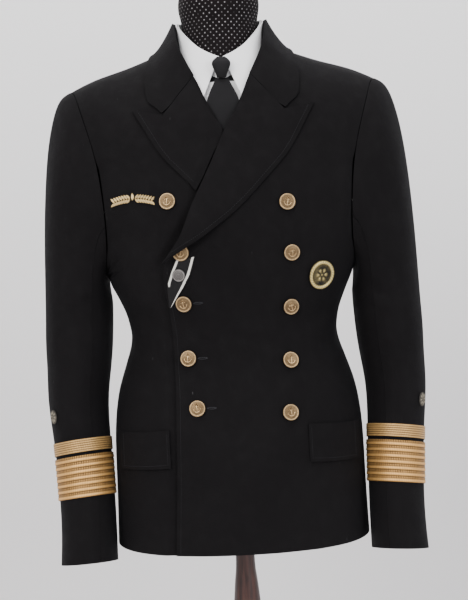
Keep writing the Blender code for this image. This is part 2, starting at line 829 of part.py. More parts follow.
def sleeve_at(along, psi):
    """A point of the sleeve's outside, from the armhole down to the cuff."""
    top = SLEEVE_SECTIONS[0][0]
    if along >= CAP_SHARE:
        rest = (along - CAP_SHARE) / (1.0 - CAP_SHARE)
        return sleeve_ring(between(top, SLEEVE_SECTIONS[-1][0], rest), psi)
    t = along / CAP_SHARE
    turned = psi - 360.0 if psi > 180.0 else psi
    high = (1.0 - math.cos(math.radians(turned))) / 2.0
    leave = Vector((between(CAP_REACH_PIT, CAP_REACH_TOP, high), 0.0, -between(0.030, 0.010, high)))
    start = torso_position(*armhole_place(turned)) + leave.normalized() * 0.0004
    start.x += 0.0004
    end = sleeve_ring(top, psi)
    arrive = Vector((0.012 * high, 0.0, -1.45 * (start.z - end.z)))
    h01 = t * t * (3.0 - 2.0 * t)
    h10 = t * (1.0 - t) ** 2
    h11 = -t * t * (1.0 - t)
    return start * (1.0 - h01) + leave * h10 + end * h01 + arrive * h11


def add_sleeves(wool):
    """A top sleeve and an under sleeve on each side."""
    pieces = (
        ("top_sleeve", UNDERSLEEVE_BACK + SEAM_PSI, 360.0 + UNDERSLEEVE_FRONT - SEAM_PSI, 16),
        ("under_sleeve", UNDERSLEEVE_FRONT + SEAM_PSI, UNDERSLEEVE_BACK - SEAM_PSI, 10),
    )
    for name, first, last, columns in pieces:
        def at(along, across, first=first, last=last):
            return sleeve_at(along, between(first, last, across))
        for side, mirrored in (("left", False), ("right", True)):
            add_surface(f"{name}_{side}", at, SLEEVE_ROWS, columns, WOOL, wool, mirrored)


def front_frame(x, z, out=BUTTON_SEAT, spin=0.0):
    """Places flat-drawn points on the front: their x runs across, y up and z out of the cloth."""
    place = front_place(x, z)
    seat = on_jacket(place, out)
    outward = torso_normal(*place)
    across = Vector((0.0, 0.0, 1.0)).cross(outward).normalized()
    up = outward.cross(across)
    cosine = math.cos(math.radians(spin))
    sine = math.sin(math.radians(spin))

    def placed(p):
        """One point on the cloth."""
        return seat + across * (p.x * cosine - p.y * sine) + up * (p.x * sine + p.y * cosine) + outward * p.z

    return placed


def add_buttons(gilt):
    """Two columns of five domed shank buttons."""
    radius = BUTTON_RADIUS
    height = BUTTON_HEIGHT
    profile = (
        (0.0030, 0.0),
        (0.0030, 0.0020),
        (radius * 0.95, 0.0021),
        (radius, 0.0030),
        (radius * 0.93, 0.0041),
        (radius * 0.62, height * 0.90),
        (0.0, height),
    )
    for row, right_x, right_z, left_x, left_z in BUTTONS:
        add_turned(f"button_right_{row}", profile, 14, gilt, front_frame(right_x, right_z))
        add_turned(f"button_left_{row}", profile, 14, gilt, front_frame(left_x, left_z))


def add_flaps(wool):
    """A pocket flap on each hip."""
    thickness = WOOL * 0.8
    places = []
    for r in range(4):
        row = []
        for c in range(FLAP_COLUMNS):
            x = between(FLAP_IN_X, FLAP_OUT_X, c / (FLAP_COLUMNS - 1))
            top = FLAP_TOP_Z - FLAP_SLOPE * (x - FLAP_IN_X) / (FLAP_OUT_X - FLAP_IN_X)
            row.append(front_place(x, between(top - FLAP_DROP, top, r / 3)))
        places.append(row)
    outs = [[FLAP_GAP + thickness] * FLAP_COLUMNS for row in places]
    add_panel("pocket_flap_left", places, outs, thickness, wool)
    add_panel("pocket_flap_right", places, outs, thickness, wool, mirrored=True)


def add_ornaments(gold, pewter, ribbon_cloth):
    """The leaf spray, the round badge, and the ribbon with its clasp."""
    thickness = 0.0016
    places = []
    outs = []
    for r in range(3):
        row = []
        for c in range(11):
            along = 2.0 * c / 10 - 1.0
            half = SPRAY_HEIGHT / 2.0 * max(1.0 - abs(along) ** 2.5, 0.15)
            z = SPRAY_Z + between(-half, half, r / 2)
            row.append(front_place(SPRAY_X + along * SPRAY_LENGTH / 2.0, z))
        places.append(row)
        outs.append([LAYER_GAP + thickness] * 11)
    add_panel("breast_spray", places, outs, thickness, gold, mirrored=True)

    badge = (
        (BADGE_RADIUS * 0.96, 0.0),
        (BADGE_RADIUS, 0.0012),
        (BADGE_RADIUS * 0.92, 0.0026),
        (BADGE_RADIUS * 0.62, 0.0022),
        (BADGE_RADIUS * 0.50, 0.0030),
        (0.0, 0.0042),
    )
    add_turned("round_badge", badge, 20, gold, front_frame(BADGE_X, BADGE_Z))

    places = []
    for left_x, left_z, right_x, right_z in reversed(RIBBON):
        low = (left_x, left_z)
        high = (right_x, right_z)
        places.append([front_place(*place_between(low, high, c / 3)) for c in range(4)])
    outs = [[LAYER_GAP + RIBBON_THICKNESS] * 4 for row in places]
    add_panel("ribbon", places, outs, RIBBON_THICKNESS, ribbon_cloth)

    clasp = (
        (CLASP_RADIUS, 0.0),
        (CLASP_RADIUS, 0.0012),
        (CLASP_RADIUS * 0.55, 0.0022),
        (0.0, 0.0024),
    )
    seat = LAYER_GAP + RIBBON_THICKNESS + SEAM_GAP
    add_turned("ribbon_clasp", clasp, 14, pewter, front_frame(CLASP_X, CLASP_Z, seat))


def add_lace(gold):
    """A narrow ring of lace above a wide one on each cuff."""
    gap = 0.0007
    segments = 36
    for name, top, bottom in LACE:
        grids = []
        for out in (gap + LACE_THICKNESS, gap):
            rows = (top, bottom)
            grids.append([[sleeve_ring(z, 360.0 * s / segments, out) for s in range(segments)] for z in rows])
        for side, mirrored in (("left", False), ("right", True)):
            add_wall(f"lace_{name}_{side}", grids[0], grids[1], gold, mirrored, ring=True)


def add_cuff_badges(gold):
    """A small round embroidered badge above the lace of each sleeve."""
    psi = 220.0
    seat = sleeve_ring(CUFF_BADGE_Z, psi, LAYER_GAP)
    across = sleeve_ring(CUFF_BADGE_Z, psi + 1.0) - sleeve_ring(CUFF_BADGE_Z, psi - 1.0)
    down = sleeve_ring(CUFF_BADGE_Z - 0.002, psi) - sleeve_ring(CUFF_BADGE_Z + 0.002, psi)
    across.normalize()
    outward = across.cross(down).normalized()
    up = across.cross(outward)
    profile = (
        (CUFF_BADGE_RADIUS * 0.96, 0.0),
        (CUFF_BADGE_RADIUS, 0.0006),
        (CUFF_BADGE_RADIUS * 0.80, 0.0013),
        (0.0, 0.0016),
    )

    def left(p):
        """One point on the left sleeve."""
        return seat + across * p.x - up * p.y + outward * p.z

    def right(p):
        """The same point on the right sleeve."""
        point = left(Vector((-p.x, p.y, p.z)))
        return Vector((-point.x, point.y, point.z))

    add_turned("cuff_badge_left", profile, 14, gold, left)
    add_turned("cuff_badge_right", profile, 14, gold, right)


def shirt_collar_at(along, across):
    """The outside of the shirt collar's fall, from its fold down to its points."""
    share, side = collar_share(along)
    top = Vector([smooth_at(SHIRT_COLLAR, share, c) for c in (1, 2, 3)])
    low = Vector([smooth_at(SHIRT_COLLAR, share, c) for c in (4, 5, 6)])
    point = top.lerp(low, across)
    point.x *= side
    return point


def shirt_band_at(along, across):
    """The outside of the shirt's neckband, from just under the collar's fold down."""
    share, side = collar_share(along)
    top = Vector([smooth_at(SHIRT_COLLAR, share, c) for c in (1, 2, 3)])
    outward = Vector((top.x, top.y, 0.0)).normalized()
    high = top - outward * (COTTON + BAND_GAP) - Vector((0.0, 0.0, 0.001))
    flare = 0.007 * (1.0 - share) ** 2
    low = high + outward * flare - Vector((0.0, 0.0, 0.029))
    point = high.lerp(low, across)
    point.x *= side
    return point


def add_shirt(cotton):
    """The shirt's front, its neckband and its turned-down collar."""
    places = []
    for r in range(BIB_ROWS):
        z = between(BIB_BOTTOM_Z, BIB_TOP_Z, r / (BIB_ROWS - 1))
        places.append([front_place(between(-BIB_HALF_WIDTH, BIB_HALF_WIDTH, c / 6), z) for c in range(7)])
    outs = [[BIB_DEPTH] * 7 for row in places]
    add_panel("shirt_front", places, outs, COTTON, cotton)
    add_surface("shirt_band", shirt_band_at, 25, 3, COTTON, cotton)
    add_surface("shirt_collar", shirt_collar_at, 25, 4, COTTON, cotton)


def add_tie(silk):
    """The tie's knot and the blade below it."""
    places = []
    outs = []
    for height, half_width, out in TIE_BLADE:
        places.append([front_place(between(-half_width, half_width, c / 4), height) for c in range(5)])
        outs.append([out] * 5)
    add_panel("tie_blade", places, outs, WOOL, silk)
    points = []
    faces = []
    sides = 12
    for height, half_width, front_y, back_y in TIE_KNOT:
        for s in range(sides):
            side, ahead = rounded(360.0 * s / sides, 3.0)
            middle = (front_y + back_y) / 2.0
            points.append((half_width * side, middle - (back_y - front_y) / 2.0 * ahead, height))
    for r in range(len(TIE_KNOT) - 1):
        for s in range(sides):
            a = r * sides + s
            b = r * sides + (s + 1) % sides
            faces.append((a, b, b + sides, a + sides))
    faces.append(tuple(reversed(range(sides))))
    faces.append(tuple(range((len(TIE_KNOT) - 1) * sides, len(TIE_KNOT) * sides)))
    add_mesh("tie_knot", points, faces, silk)


def neck_point(radius, height, angle, grow=0.0):
    """A point of the form's neck, which is a little deeper than it is wide."""
    x = (radius + grow) * math.cos(angle)
    y = NECK_Y + (radius * NECK_DEEPER + grow) * math.sin(angle)
    return Vector((x, y, height))


def add_form(canvas, dotted):
    """The torso that fills the jacket and the neck that stands in its shoulders."""
    around = 24
    levels = [between(FORM_BOTTOM_Z, CHEST_Z, r / 11) for r in range(12)]
    levels += [level_of(turn) for turn in (15, 30, 45, 60, 72, 84)]
    points = []
    faces = []
    for level in levels:
        for s in range(around):
            points.append(torso_position(360.0 * s / around, level, FORM_INSET, FORM_ARM_X, FORM_RIDGE_DROP))
    for r in range(len(levels) - 1):
        for s in range(around):
            a = r * around + s
            b = r * around + (s + 1) % around
            faces.append((a, b, b + around, a + around))
    faces.append(tuple(reversed(range(around))))
    top = (len(levels) - 1) * around
    half = around // 2
    quarter = around // 4
    for i in range(-quarter, quarter):
        corners = [top + i % around, top + (i + 1) % around,
                   top + (half - i - 1) % around, top + (half - i) % around]
        faces.append(tuple(dict.fromkeys(corners)))
    torso = add_mesh("form_torso", points, faces, canvas)

    segments = 20
    points = [neck_point(NECK[0][1], z, math.tau * s / segments, 0.0004)
              for z in (NECK[0][0] - SEAM_GAP, 1.600) for s in range(segments)]
    faces = [(s, (s + 1) % segments, segments + (s + 1) % segments, segments + s) for s in range(segments)]
    faces.append(tuple(reversed(range(segments))))
    faces.append(tuple(range(segments, 2 * segments)))
    cutter = add_mesh("neck_seat_cutter", points, faces, canvas)
    cutter.hide_render = True
    cutter.display_type = "WIRE"
    seat = torso.modifiers.new("neck seat", "BOOLEAN")
    seat.object = cutter

    def placed(p):
        """A point of the turned neck, deepened front to back."""
        return Vector((p.x, NECK_Y + p.y * NECK_DEEPER, p.z))

    add_turned("form_neck", [(radius, height) for height, radius in NECK], segments, dotted, placed)


def add_stand(wood):
    """The turned pole and the round foot."""
    add_turned("stand_pole", [(radius, height) for height, radius in POLE], 16, wood)
    add_turned("stand_foot", [(radius, height) for height, radius in FOOT], 40, wood)


def main():
    """Builds every piece."""
    for leftover in list(bpy.data.objects):
        bpy.data.objects.remove(leftover, do_unlink=True)
    wool = material("Navy wool", (0.010, 0.011, 0.016), 0.85)
    gilt = material("Gilt brass", (0.58, 0.38, 0.16), 0.38, 1.0)
    gold = material("Gold lace", (0.62, 0.41, 0.13), 0.45, 0.8)
    pewter = material("Dull pewter", (0.20, 0.19, 0.18), 0.45, 0.9)
    ribbon_cloth = material("Ribbon", (0.02, 0.02, 0.022), 0.6)
    cotton = material("White cotton", (0.80, 0.81, 0.84), 0.75)
    silk = material("Black silk", (0.012, 0.012, 0.016), 0.5)
    canvas = material("Form canvas", (0.05, 0.05, 0.055), 0.9)
    dotted = material("Dotted cloth", (0.03, 0.03, 0.045), 0.8)
    wood = material("Red-brown wood", (0.16, 0.045, 0.025), 0.35)
    add_fronts(wool)
    add_backs(wool)
    add_lapels(wool)
    add_collar(wool)
    add_sleeves(wool)
    add_flaps(wool)
    add_buttons(gilt)
    add_ornaments(gold, pewter, ribbon_cloth)
    add_lace(gold)
    add_cuff_badges(gold)
    add_shirt(cotton)
    add_tie(silk)
    add_form(canvas, dotted)
    add_stand(wood)


main()
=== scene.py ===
# %% [markdown]
# # A naval officer's jacket on a dress form
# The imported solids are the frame. Every cloth piece here is a thin shell that passes through its
# solid's own points, so the garment keeps its true size, and the creases, sewing and lace are added
# on top of that. Metres, +Z up, the front faces -Y and the wearer's left is +X.

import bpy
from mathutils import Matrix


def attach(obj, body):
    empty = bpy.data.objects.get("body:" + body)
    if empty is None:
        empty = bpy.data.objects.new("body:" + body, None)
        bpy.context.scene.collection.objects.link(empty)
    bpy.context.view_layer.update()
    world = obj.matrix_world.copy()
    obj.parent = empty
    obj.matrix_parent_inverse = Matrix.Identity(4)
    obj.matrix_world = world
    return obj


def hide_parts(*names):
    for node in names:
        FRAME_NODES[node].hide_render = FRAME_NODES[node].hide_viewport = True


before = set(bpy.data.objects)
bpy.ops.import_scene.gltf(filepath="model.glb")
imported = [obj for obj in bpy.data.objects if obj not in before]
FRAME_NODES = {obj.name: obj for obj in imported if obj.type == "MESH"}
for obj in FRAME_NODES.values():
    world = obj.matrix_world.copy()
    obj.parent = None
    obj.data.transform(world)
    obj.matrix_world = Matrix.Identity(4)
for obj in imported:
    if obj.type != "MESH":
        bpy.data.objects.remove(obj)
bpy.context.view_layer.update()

import math

import bmesh
import bpy
import numpy as np
from mathutils import Matrix, Vector
from mathutils.bvhtree import BVHTree

scene = bpy.context.scene

# %% [markdown]
# ## Camera, floor and light
# The photograph is a straight catalogue shot: the camera stands level with the chest, tips down a
# little and leans by under three degrees. The light is broad and frontal on a pale paper sweep, so
# the sweep is one curved sheet and the lamps are three large soft ones.

# %% Camera
CAMERA_PLACE = (0.0018, -1.90, 1.23)
CAMERA_PITCH = 3.4
CAMERA_ROLL = -2.8
camera = bpy.data.objects.new("camera", bpy.data.cameras.new("camera"))
scene.collection.objects.link(camera)
camera.data.sensor_width = 36.0
camera.data.lens = 81.4
camera.location = CAMERA_PLACE
aim = Matrix.Rotation(math.radians(90.0 - CAMERA_PITCH), 3, "X")
camera.rotation_euler = (aim @ Matrix.Rotation(math.radians(CAMERA_ROLL), 3, "Z")).to_euler()
scene.camera = camera

# %% Shader helpers


def node(tree, kind, inputs=None, **settings):
    """One shader or geometry node. Inputs are values, or sockets to link from."""
    made = tree.nodes.new(kind)
    for name, value in settings.items():
        setattr(made, name, value)
    for name, value in (inputs or {}).items():
        socket = made.inputs[name]
        if isinstance(value, bpy.types.NodeSocket):
            tree.links.new(value, socket)
        else:
            socket.default_value = value
    return made


def math_node(tree, operation, first, second=0.0):
    """The result socket of a Math node."""
    return node(tree, "ShaderNodeMath", {0: first, 1: second}, operation=operation).outputs[0]


def times(tree, first, second):
    """The product of two values."""
    return math_node(tree, "MULTIPLY", first, second)


def mixed(tree, share, first, second):
    """The result socket of a colour mix."""
    return node(tree, "ShaderNodeMix", {0: share, 6: first, 7: second}, data_type="RGBA").outputs[2]


def ramp(tree, value, low, high, start=0.0, end=1.0):
    """A value stretched so that low gives start and high gives end, clamped."""
    inputs = {"Value": value, "From Min": low, "From Max": high, "To Min": start, "To Max": end}
    return node(tree, "ShaderNodeMapRange", inputs).outputs[0]


def own_place(tree):
    """The coordinates of the object itself."""
    return node(tree, "ShaderNodeTexCoord").outputs["Object"]


def noise(tree, place, scale, detail, roughness=0.5):
    """A cloudy value."""
    inputs = {"Vector": place, "Scale": scale, "Detail": detail, "Roughness": roughness}
    return node(tree, "ShaderNodeTexNoise", inputs).outputs[0]


def new_material(name, roughness=0.8, metallic=0.0, **constants):
    """A material with a Principled shader. Returns it with its tree and shader."""
    made = bpy.data.materials.new(name)
    made.use_nodes = True
    shader = made.node_tree.nodes["Principled BSDF"]
    shader.inputs["Roughness"].default_value = roughness
    shader.inputs["Metallic"].default_value = metallic
    for socket, value in constants.items():
        shader.inputs[socket.replace("_", " ")].default_value = value
    return made, made.node_tree, shader


def new_group(name, inputs, outputs):
    """A shader node group with named float inputs and outputs."""
    tree = bpy.data.node_groups.new(name, "ShaderNodeTree")
    for label, value in inputs:
        socket = tree.interface.new_socket(label, in_out="INPUT", socket_type="NodeSocketFloat")
        socket.default_value = value
    for label in outputs:
        tree.interface.new_socket(label, in_out="OUTPUT", socket_type="NodeSocketFloat")
    return tree, tree.nodes.new("NodeGroupInput"), tree.nodes.new("NodeGroupOutput")


def use_group(tree, group, inputs):
    """A node that runs a shared group."""
    return node(tree, "ShaderNodeGroup", inputs, node_tree=group)


def finish_shader(tree, shader, colour, height, depth, strength, rough=None):
    """Links a colour, a bump from a height and, where given, a roughness."""
    tree.links.new(colour, shader.inputs["Base Color"])
    if rough is not None:
        tree.links.new(rough, shader.inputs["Roughness"])
    raised = node(tree, "ShaderNodeBump", {"Height": height, "Distance": depth, "Strength": strength})
    tree.links.new(raised.outputs[0], shader.inputs["Normal"])


# %% Sweep and lamps
SWEEP_Y = 1.10
SWEEP_BEND = 0.60
SWEEP_FRONT_Y = -4.5
SWEEP_TOP_Z = 4.2
SWEEP_HALF_WIDTH = 4.0
BEND_STEPS = 16


def add_sweep():
    """A paper sweep: a floor that curves up into a wall behind the form."""
    profile = [(SWEEP_FRONT_Y, 0.0), (SWEEP_Y - SWEEP_BEND, 0.0)]
    for i in range(1, BEND_STEPS + 1):
        turn = math.radians(90.0 * i / BEND_STEPS)
        back = SWEEP_Y - SWEEP_BEND + SWEEP_BEND * math.sin(turn)
        profile.append((back, SWEEP_BEND * (1 - math.cos(turn))))
    profile.append((SWEEP_Y, SWEEP_TOP_Z))
    points = [(x, y, z) for x in (-SWEEP_HALF_WIDTH, SWEEP_HALF_WIDTH) for y, z in profile]
    count = len(profile)
    faces = [(i, count + i, count + i + 1, i + 1) for i in range(count - 1)]
    mesh = bpy.data.meshes.new("paper_sweep")
    mesh.from_pydata(points, [], faces)
    mesh.shade_smooth()
    made = bpy.data.objects.new("paper_sweep", mesh)
    scene.collection.objects.link(made)
    paper, tree, shader = new_material("Pale paper", 0.9)
    coords = own_place(tree)
    cloud = noise(tree, coords, 1.4, 2.0)
    # The paper is painted darker on the floor and paler up the wall: painted shade low down and painted
    # light higher up, over a random cloud of tone.
    height = node(tree, "ShaderNodeSeparateXYZ", {0: coords}).outputs["Z"]
    rise = ramp(tree, height, 0.2, 1.9)
    low = mixed(tree, cloud, (0.73, 0.705, 0.71, 1.0), (0.76, 0.74, 0.745, 1.0))
    colour = mixed(tree, rise, low, (0.975, 0.965, 0.965, 1.0))
    tree.links.new(colour, shader.inputs["Base Color"])
    behind = node(tree, "ShaderNodeNewGeometry").outputs["Backfacing"]
    clear = node(tree, "ShaderNodeBsdfTransparent").outputs[0]
    both = node(tree, "ShaderNodeMixShader", {0: behind, 1: shader.outputs[0], 2: clear})
    tree.links.new(both.outputs[0], tree.nodes["Material Output"].inputs["Surface"])
    mesh.materials.append(paper)


def add_lamp(name, place, target, size, power, colour=(1.0, 1.0, 1.0)):
    """A soft square lamp aimed at a point."""
    data = bpy.data.lights.new(name, "AREA")
    data.size = size
    data.energy = power
    data.color = colour
    made = bpy.data.objects.new(name, data)
    scene.collection.objects.link(made)
    made.location = place
    made.rotation_euler = (Vector(target) - Vector(place)).to_track_quat("-Z", "Y").to_euler()


add_sweep()
add_lamp("key", (-1.5, -2.6, 2.5), (0.0, 0.0, 1.15), 1.6, 70.0, (1.0, 0.985, 0.96))
add_lamp("fill", (2.0, -2.2, 1.9), (0.0, 0.0, 1.10), 1.8, 44.0, (0.96, 0.98, 1.0))
add_lamp("top", (0.0, -0.2, 3.3), (0.0, 0.3, 1.0), 2.2, 50.0)
world = bpy.data.worlds.new("studio")
scene.world = world
world.use_nodes = True
world.node_tree.nodes["Background"].inputs[0].default_value = (0.93, 0.94, 0.96, 1.0)
world.node_tree.nodes["Background"].inputs[1].default_value = 0.84

# %% [markdown]
# ## Shared surface effects
# Three effects recur on the cloths: a twill or plain weave, a soft mottling from wear and pressing,
# and short pale fibres. Each is a shader group that returns values only, so any cloth can use it at
# its own scale.

# %% Effect groups


def make_weave_group():
    """Crossed threads: a height and the share of each thread's crown."""
    settings = [("Threads per metre", 900.0), ("Slant", 1.0), ("Unevenness", 0.3)]
    tree, given, result = new_group("Crossed threads", settings, ["Height", "Crown"])
    coords = own_place(tree)
    parts = node(tree, "ShaderNodeSeparateXYZ", {0: coords})
    wander = noise(tree, coords, 180.0, 2.0)
    wander = times(tree, wander, given.outputs["Unevenness"])
    wander = times(tree, wander, 0.02)
    round_it = math_node(tree, "ADD", parts.outputs["X"], parts.outputs["Y"])
    slanted = times(tree, parts.outputs["Z"], given.outputs["Slant"])
    waves = []
    for operation in ("ADD", "SUBTRACT"):
        line = math_node(tree, operation, round_it, slanted)
        line = math_node(tree, "ADD", line, wander)
        phase = times(tree, line, given.outputs["Threads per metre"])
        phase = times(tree, phase, math.tau)
        waves.append(math_node(tree, "SINE", phase))
    weft = times(tree, waves[1], 0.45)
    height = math_node(tree, "ADD", waves[0], weft)
    crown = ramp(tree, height, -1.2, 1.4)
    tree.links.new(crown, result.inputs["Height"])
    tree.links.new(math_node(tree, "POWER", crown, 2.0), result.inputs["Crown"])
    return tree


def make_wear_group():
    """Soft mottling, large and small, from 0 to 1."""
    settings = [("Size", 9.0), ("Contrast", 0.6)]
    tree, given, result = new_group("Pressing and wear", settings, ["Mottle", "Rub"])
    coords = own_place(tree)
    broad = noise(tree, coords, given.outputs["Size"], 4.0, 0.6)
    spread = times(tree, given.outputs["Contrast"], 0.3)
    low = math_node(tree, "SUBTRACT", 0.5, spread)
    high = math_node(tree, "ADD", 0.5, spread)
    tree.links.new(ramp(tree, broad, low, high), result.inputs["Mottle"])
    fine = noise(tree, coords, 75.0, 5.0)
    tree.links.new(ramp(tree, fine, 0.45, 0.75), result.inputs["Rub"])
    return tree


def make_fibre_group():
    """Short pale fibres and lint caught on a napped cloth."""
    tree, given, result = new_group("Caught fibres", [("Amount", 0.3)], ["Lint", "Nap"])
    coords = own_place(tree)
    stretched = node(tree, "ShaderNodeMapping", {"Vector": coords, "Scale": (1.0, 1.0, 0.28)}).outputs[0]
    specks = node(tree, "ShaderNodeTexVoronoi", {"Vector": stretched, "Scale": 95.0}, feature="F1")
    near = ramp(tree, specks.outputs["Distance"], 0.085, 0.03)
    rare = noise(tree, coords, 21.0, 1.0)
    rare = ramp(tree, rare, 0.62, 0.70)
    lint = times(tree, times(tree, near, rare), given.outputs["Amount"])
    tree.links.new(lint, result.inputs["Lint"])
    nap = noise(tree, coords, 1500.0, 3.0)
    tree.links.new(nap, result.inputs["Nap"])
    return tree


WEAVE = make_weave_group()
WEAR = make_wear_group()
FIBRES = make_fibre_group()

# %% Cloth materials


def make_wool():
    """Fulled navy wool, nearly black, with a fine nap over its twill."""
    made, tree, shader = new_material("Navy wool", 0.92, Sheen_Weight=0.015, Sheen_Roughness=0.4,
                                      Sheen_Tint=(0.55, 0.58, 0.70, 1.0), Specular_IOR_Level=0.12)
    weave = use_group(tree, WEAVE, {"Threads per metre": 620.0, "Slant": 0.8, "Unevenness": 0.5})
    wear = use_group(tree, WEAR, {"Size": 7.0, "Contrast": 0.8})
    fibres = use_group(tree, FIBRES, {"Amount": 0.15})
    colour = mixed(tree, wear.outputs["Mottle"], (0.0030, 0.0025, 0.0029, 1.0),
                   (0.0056, 0.0049, 0.0054, 1.0))
    # Thread crowns are painted paler than the grooves: a painted highlight on the crowns and painted shade
    # in the grooves of the weave.
    crown = times(tree, weave.outputs["Crown"], 0.35)
    colour = mixed(tree, crown, colour, (0.0098, 0.0086, 0.0096, 1.0))
    colour = mixed(tree, fibres.outputs["Lint"], colour, (0.30, 0.30, 0.31, 1.0))
    rough = ramp(tree, wear.outputs["Rub"], 0.0, 1.0, 0.92, 0.80)
    height = math_node(tree, "ADD", weave.outputs["Height"], times(tree, fibres.outputs["Nap"], 1.4))
    finish_shader(tree, shader, colour, height, 0.00022, 0.8, rough)
    return made


def make_cotton():
    """Pressed white shirting, a close plain weave."""
    made, tree, shader = new_material("White cotton", 0.72, Sheen_Weight=0.05)
    weave = use_group(tree, WEAVE, {"Threads per metre": 1400.0, "Slant": 1.0, "Unevenness": 0.15})
    wear = use_group(tree, WEAR, {"Size": 22.0, "Contrast": 0.9})
    colour = mixed(tree, wear.outputs["Mottle"], (0.90, 0.89, 0.905, 1.0), (0.95, 0.945, 0.95, 1.0))
    crown = times(tree, weave.outputs["Crown"], 0.25)
    colour = mixed(tree, crown, colour, (0.90, 0.90, 0.90, 1.0))
    finish_shader(tree, shader, colour, weave.outputs["Height"], 0.00012, 0.5)
    return made


def make_silk():
    """Black tie silk with a low, slanting rib."""
    made, tree, shader = new_material("Black silk", 0.70, Sheen_Weight=0.02, Specular_IOR_Level=0.16)
    weave = use_group(tree, WEAVE, {"Threads per metre": 760.0, "Slant": 0.5, "Unevenness": 0.2})
    wear = use_group(tree, WEAR, {"Size": 30.0, "Contrast": 0.7})
    colour = mixed(tree, wear.outputs["Mottle"], (0.0050, 0.0046, 0.0054, 1.0),
                   (0.0080, 0.0074, 0.0086, 1.0))
    rough = ramp(tree, weave.outputs["Crown"], 0.0, 1.0, 0.78, 0.64)
    finish_shader(tree, shader, colour, weave.outputs["Height"], 0.00015, 0.7, rough)
    return made


def make_canvas():
    """The dark cover of the form's torso."""
    made, tree, shader = new_material("Form canvas", 0.9)
    weave = use_group(tree, WEAVE, {"Threads per metre": 800.0, "Slant": 1.0, "Unevenness": 0.3})
    # The colour follows the weave: thread crowns painted paler as a painted highlight, grooves darker as
    # painted shade.
    colour = mixed(tree, weave.outputs["Crown"], (0.022, 0.022, 0.026, 1.0), (0.045, 0.045, 0.052, 1.0))
    finish_shader(tree, shader, colour, weave.outputs["Height"], 0.00025, 0.7)
    return made


wool = make_wool()
cotton = make_cotton()
silk = make_silk()
canvas = make_canvas()

# %% [markdown]
# ## Cloth shells
# A panel of a real jacket is cut flat, pressed to shape and sewn. The solid already holds that
# shape, so its quads are put back together, subdivided, and pulled until the smooth surface passes
# through the solid's own points. The edges stay crisp because they are creased.

# %% Shells
SHELL_EDGE_ANGLE = math.radians(42.0)
SHARP_ANGLE = math.radians(38.0)
JOINED_SHAPE_ANGLE = math.radians(80.0)
SHELL_PULLS = 4
PULL_SHARE = 0.9


def quads_of(name, source):
    """A copy of a solid's mesh with its triangles joined back into quads and its edges creased."""
    mesh = source.data.copy()
    mesh.name = name
    work = bmesh.new()
    work.from_mesh(mesh)
    bmesh.ops.remove_doubles(work, verts=work.verts, dist=1e-6)
    bmesh.ops.join_triangles(work, faces=work.faces[:], cmp_seam=False, cmp_sharp=False, cmp_uvs=False,
                             cmp_vcols=False, cmp_materials=False, angle_face_threshold=SHARP_ANGLE,
                             angle_shape_threshold=JOINED_SHAPE_ANGLE)
    crease = work.edges.layers.float.get("crease_edge") or work.edges.layers.float.new("crease_edge")
    for edge in work.edges:
        edge.smooth = True
        if len(edge.link_faces) == 2 and edge.calc_face_angle() > SHELL_EDGE_ANGLE:
            edge[crease] = 1.0
    work.to_mesh(mesh)
    work.free()
    return mesh


def plain_mesh(made, name):
    """The object's evaluated mesh, as a plain mesh without modifiers."""
    graph = bpy.context.evaluated_depsgraph_get()
    graph.update()
    mesh = bpy.data.meshes.new_from_object(made.evaluated_get(graph), depsgraph=graph)
    mesh.name = name
    return mesh


def coordinates(mesh):
    """The mesh's points as rows of an array."""
    flat = np.empty(len(mesh.vertices) * 3)
    mesh.vertices.foreach_get("co", flat)
    return flat.reshape(-1, 3)


def set_coordinates(mesh, points):
    """Writes rows of points back to a mesh."""
    mesh.vertices.foreach_set("co", np.ascontiguousarray(points, dtype=float).ravel())
    mesh.update()


def finish_piece(made, finish, replaced=()):
    """Gives a piece its material, slot and body, and hides the solids it stands for."""
    made.data.materials.clear()
    made.data.materials.append(finish)
    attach(made, "root")
    if replaced:
        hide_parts(*replaced)
    return made


def shell(name, solid, finish, levels=2):
    """A smooth thin shell through the points of a solid, which it replaces."""
    made = bpy.data.objects.new(name, quads_of(name, FRAME_NODES[solid]))
    scene.collection.objects.link(made)
    wanted = coordinates(made.data)
    pull = made.modifiers.new("smooth", "SUBSURF")
    pull.levels = levels
    pull.render_levels = levels
    held = wanted.copy()
    for _ in range(SHELL_PULLS):
        reached = coordinates(plain_mesh(made, "trial"))[: len(wanted)]
        held = held + (wanted - reached) * PULL_SHARE
        set_coordinates(made.data, held)
    smooth = plain_mesh(made, name)
    made.modifiers.clear()
    made.data = smooth
    smooth.shade_smooth()
    smooth.set_sharp_from_angle(angle=SHARP_ANGLE)
    return finish_piece(made, finish, (solid,))


SIDES = (("left", 1.0), ("right", -1.0))


def sided(name):
    """The names that a table's name stands for: left and right ones where it ends in an underscore."""
    return [name + side_name for side_name, _ in SIDES] if name.endswith("_") else [name]


# Each row: solid, and how often its shell is subdivided
WOOL_SHELLS = (("front_", 3), ("back_", 3), ("lapel_", 2), ("collar_fall", 2), ("collar_stand", 1),
               ("top_sleeve_", 2), ("under_sleeve_", 2), ("pocket_flap_", 2))
PIECES = {}
for name, levels in WOOL_SHELLS:
    for solid in sided(name):
        PIECES[solid] = shell(f"{solid}_cloth", solid, wool, levels)
for solid in ("shirt_front", "shirt_band", "shirt_collar"):
    PIECES[solid] = shell(f"{solid}_cloth", solid, cotton)
PIECES["tie_blade"] = shell("tie_blade_cloth", "tie_blade", silk)
print("shells", {name: len(piece.data.polygons) for name, piece in PIECES.items()})
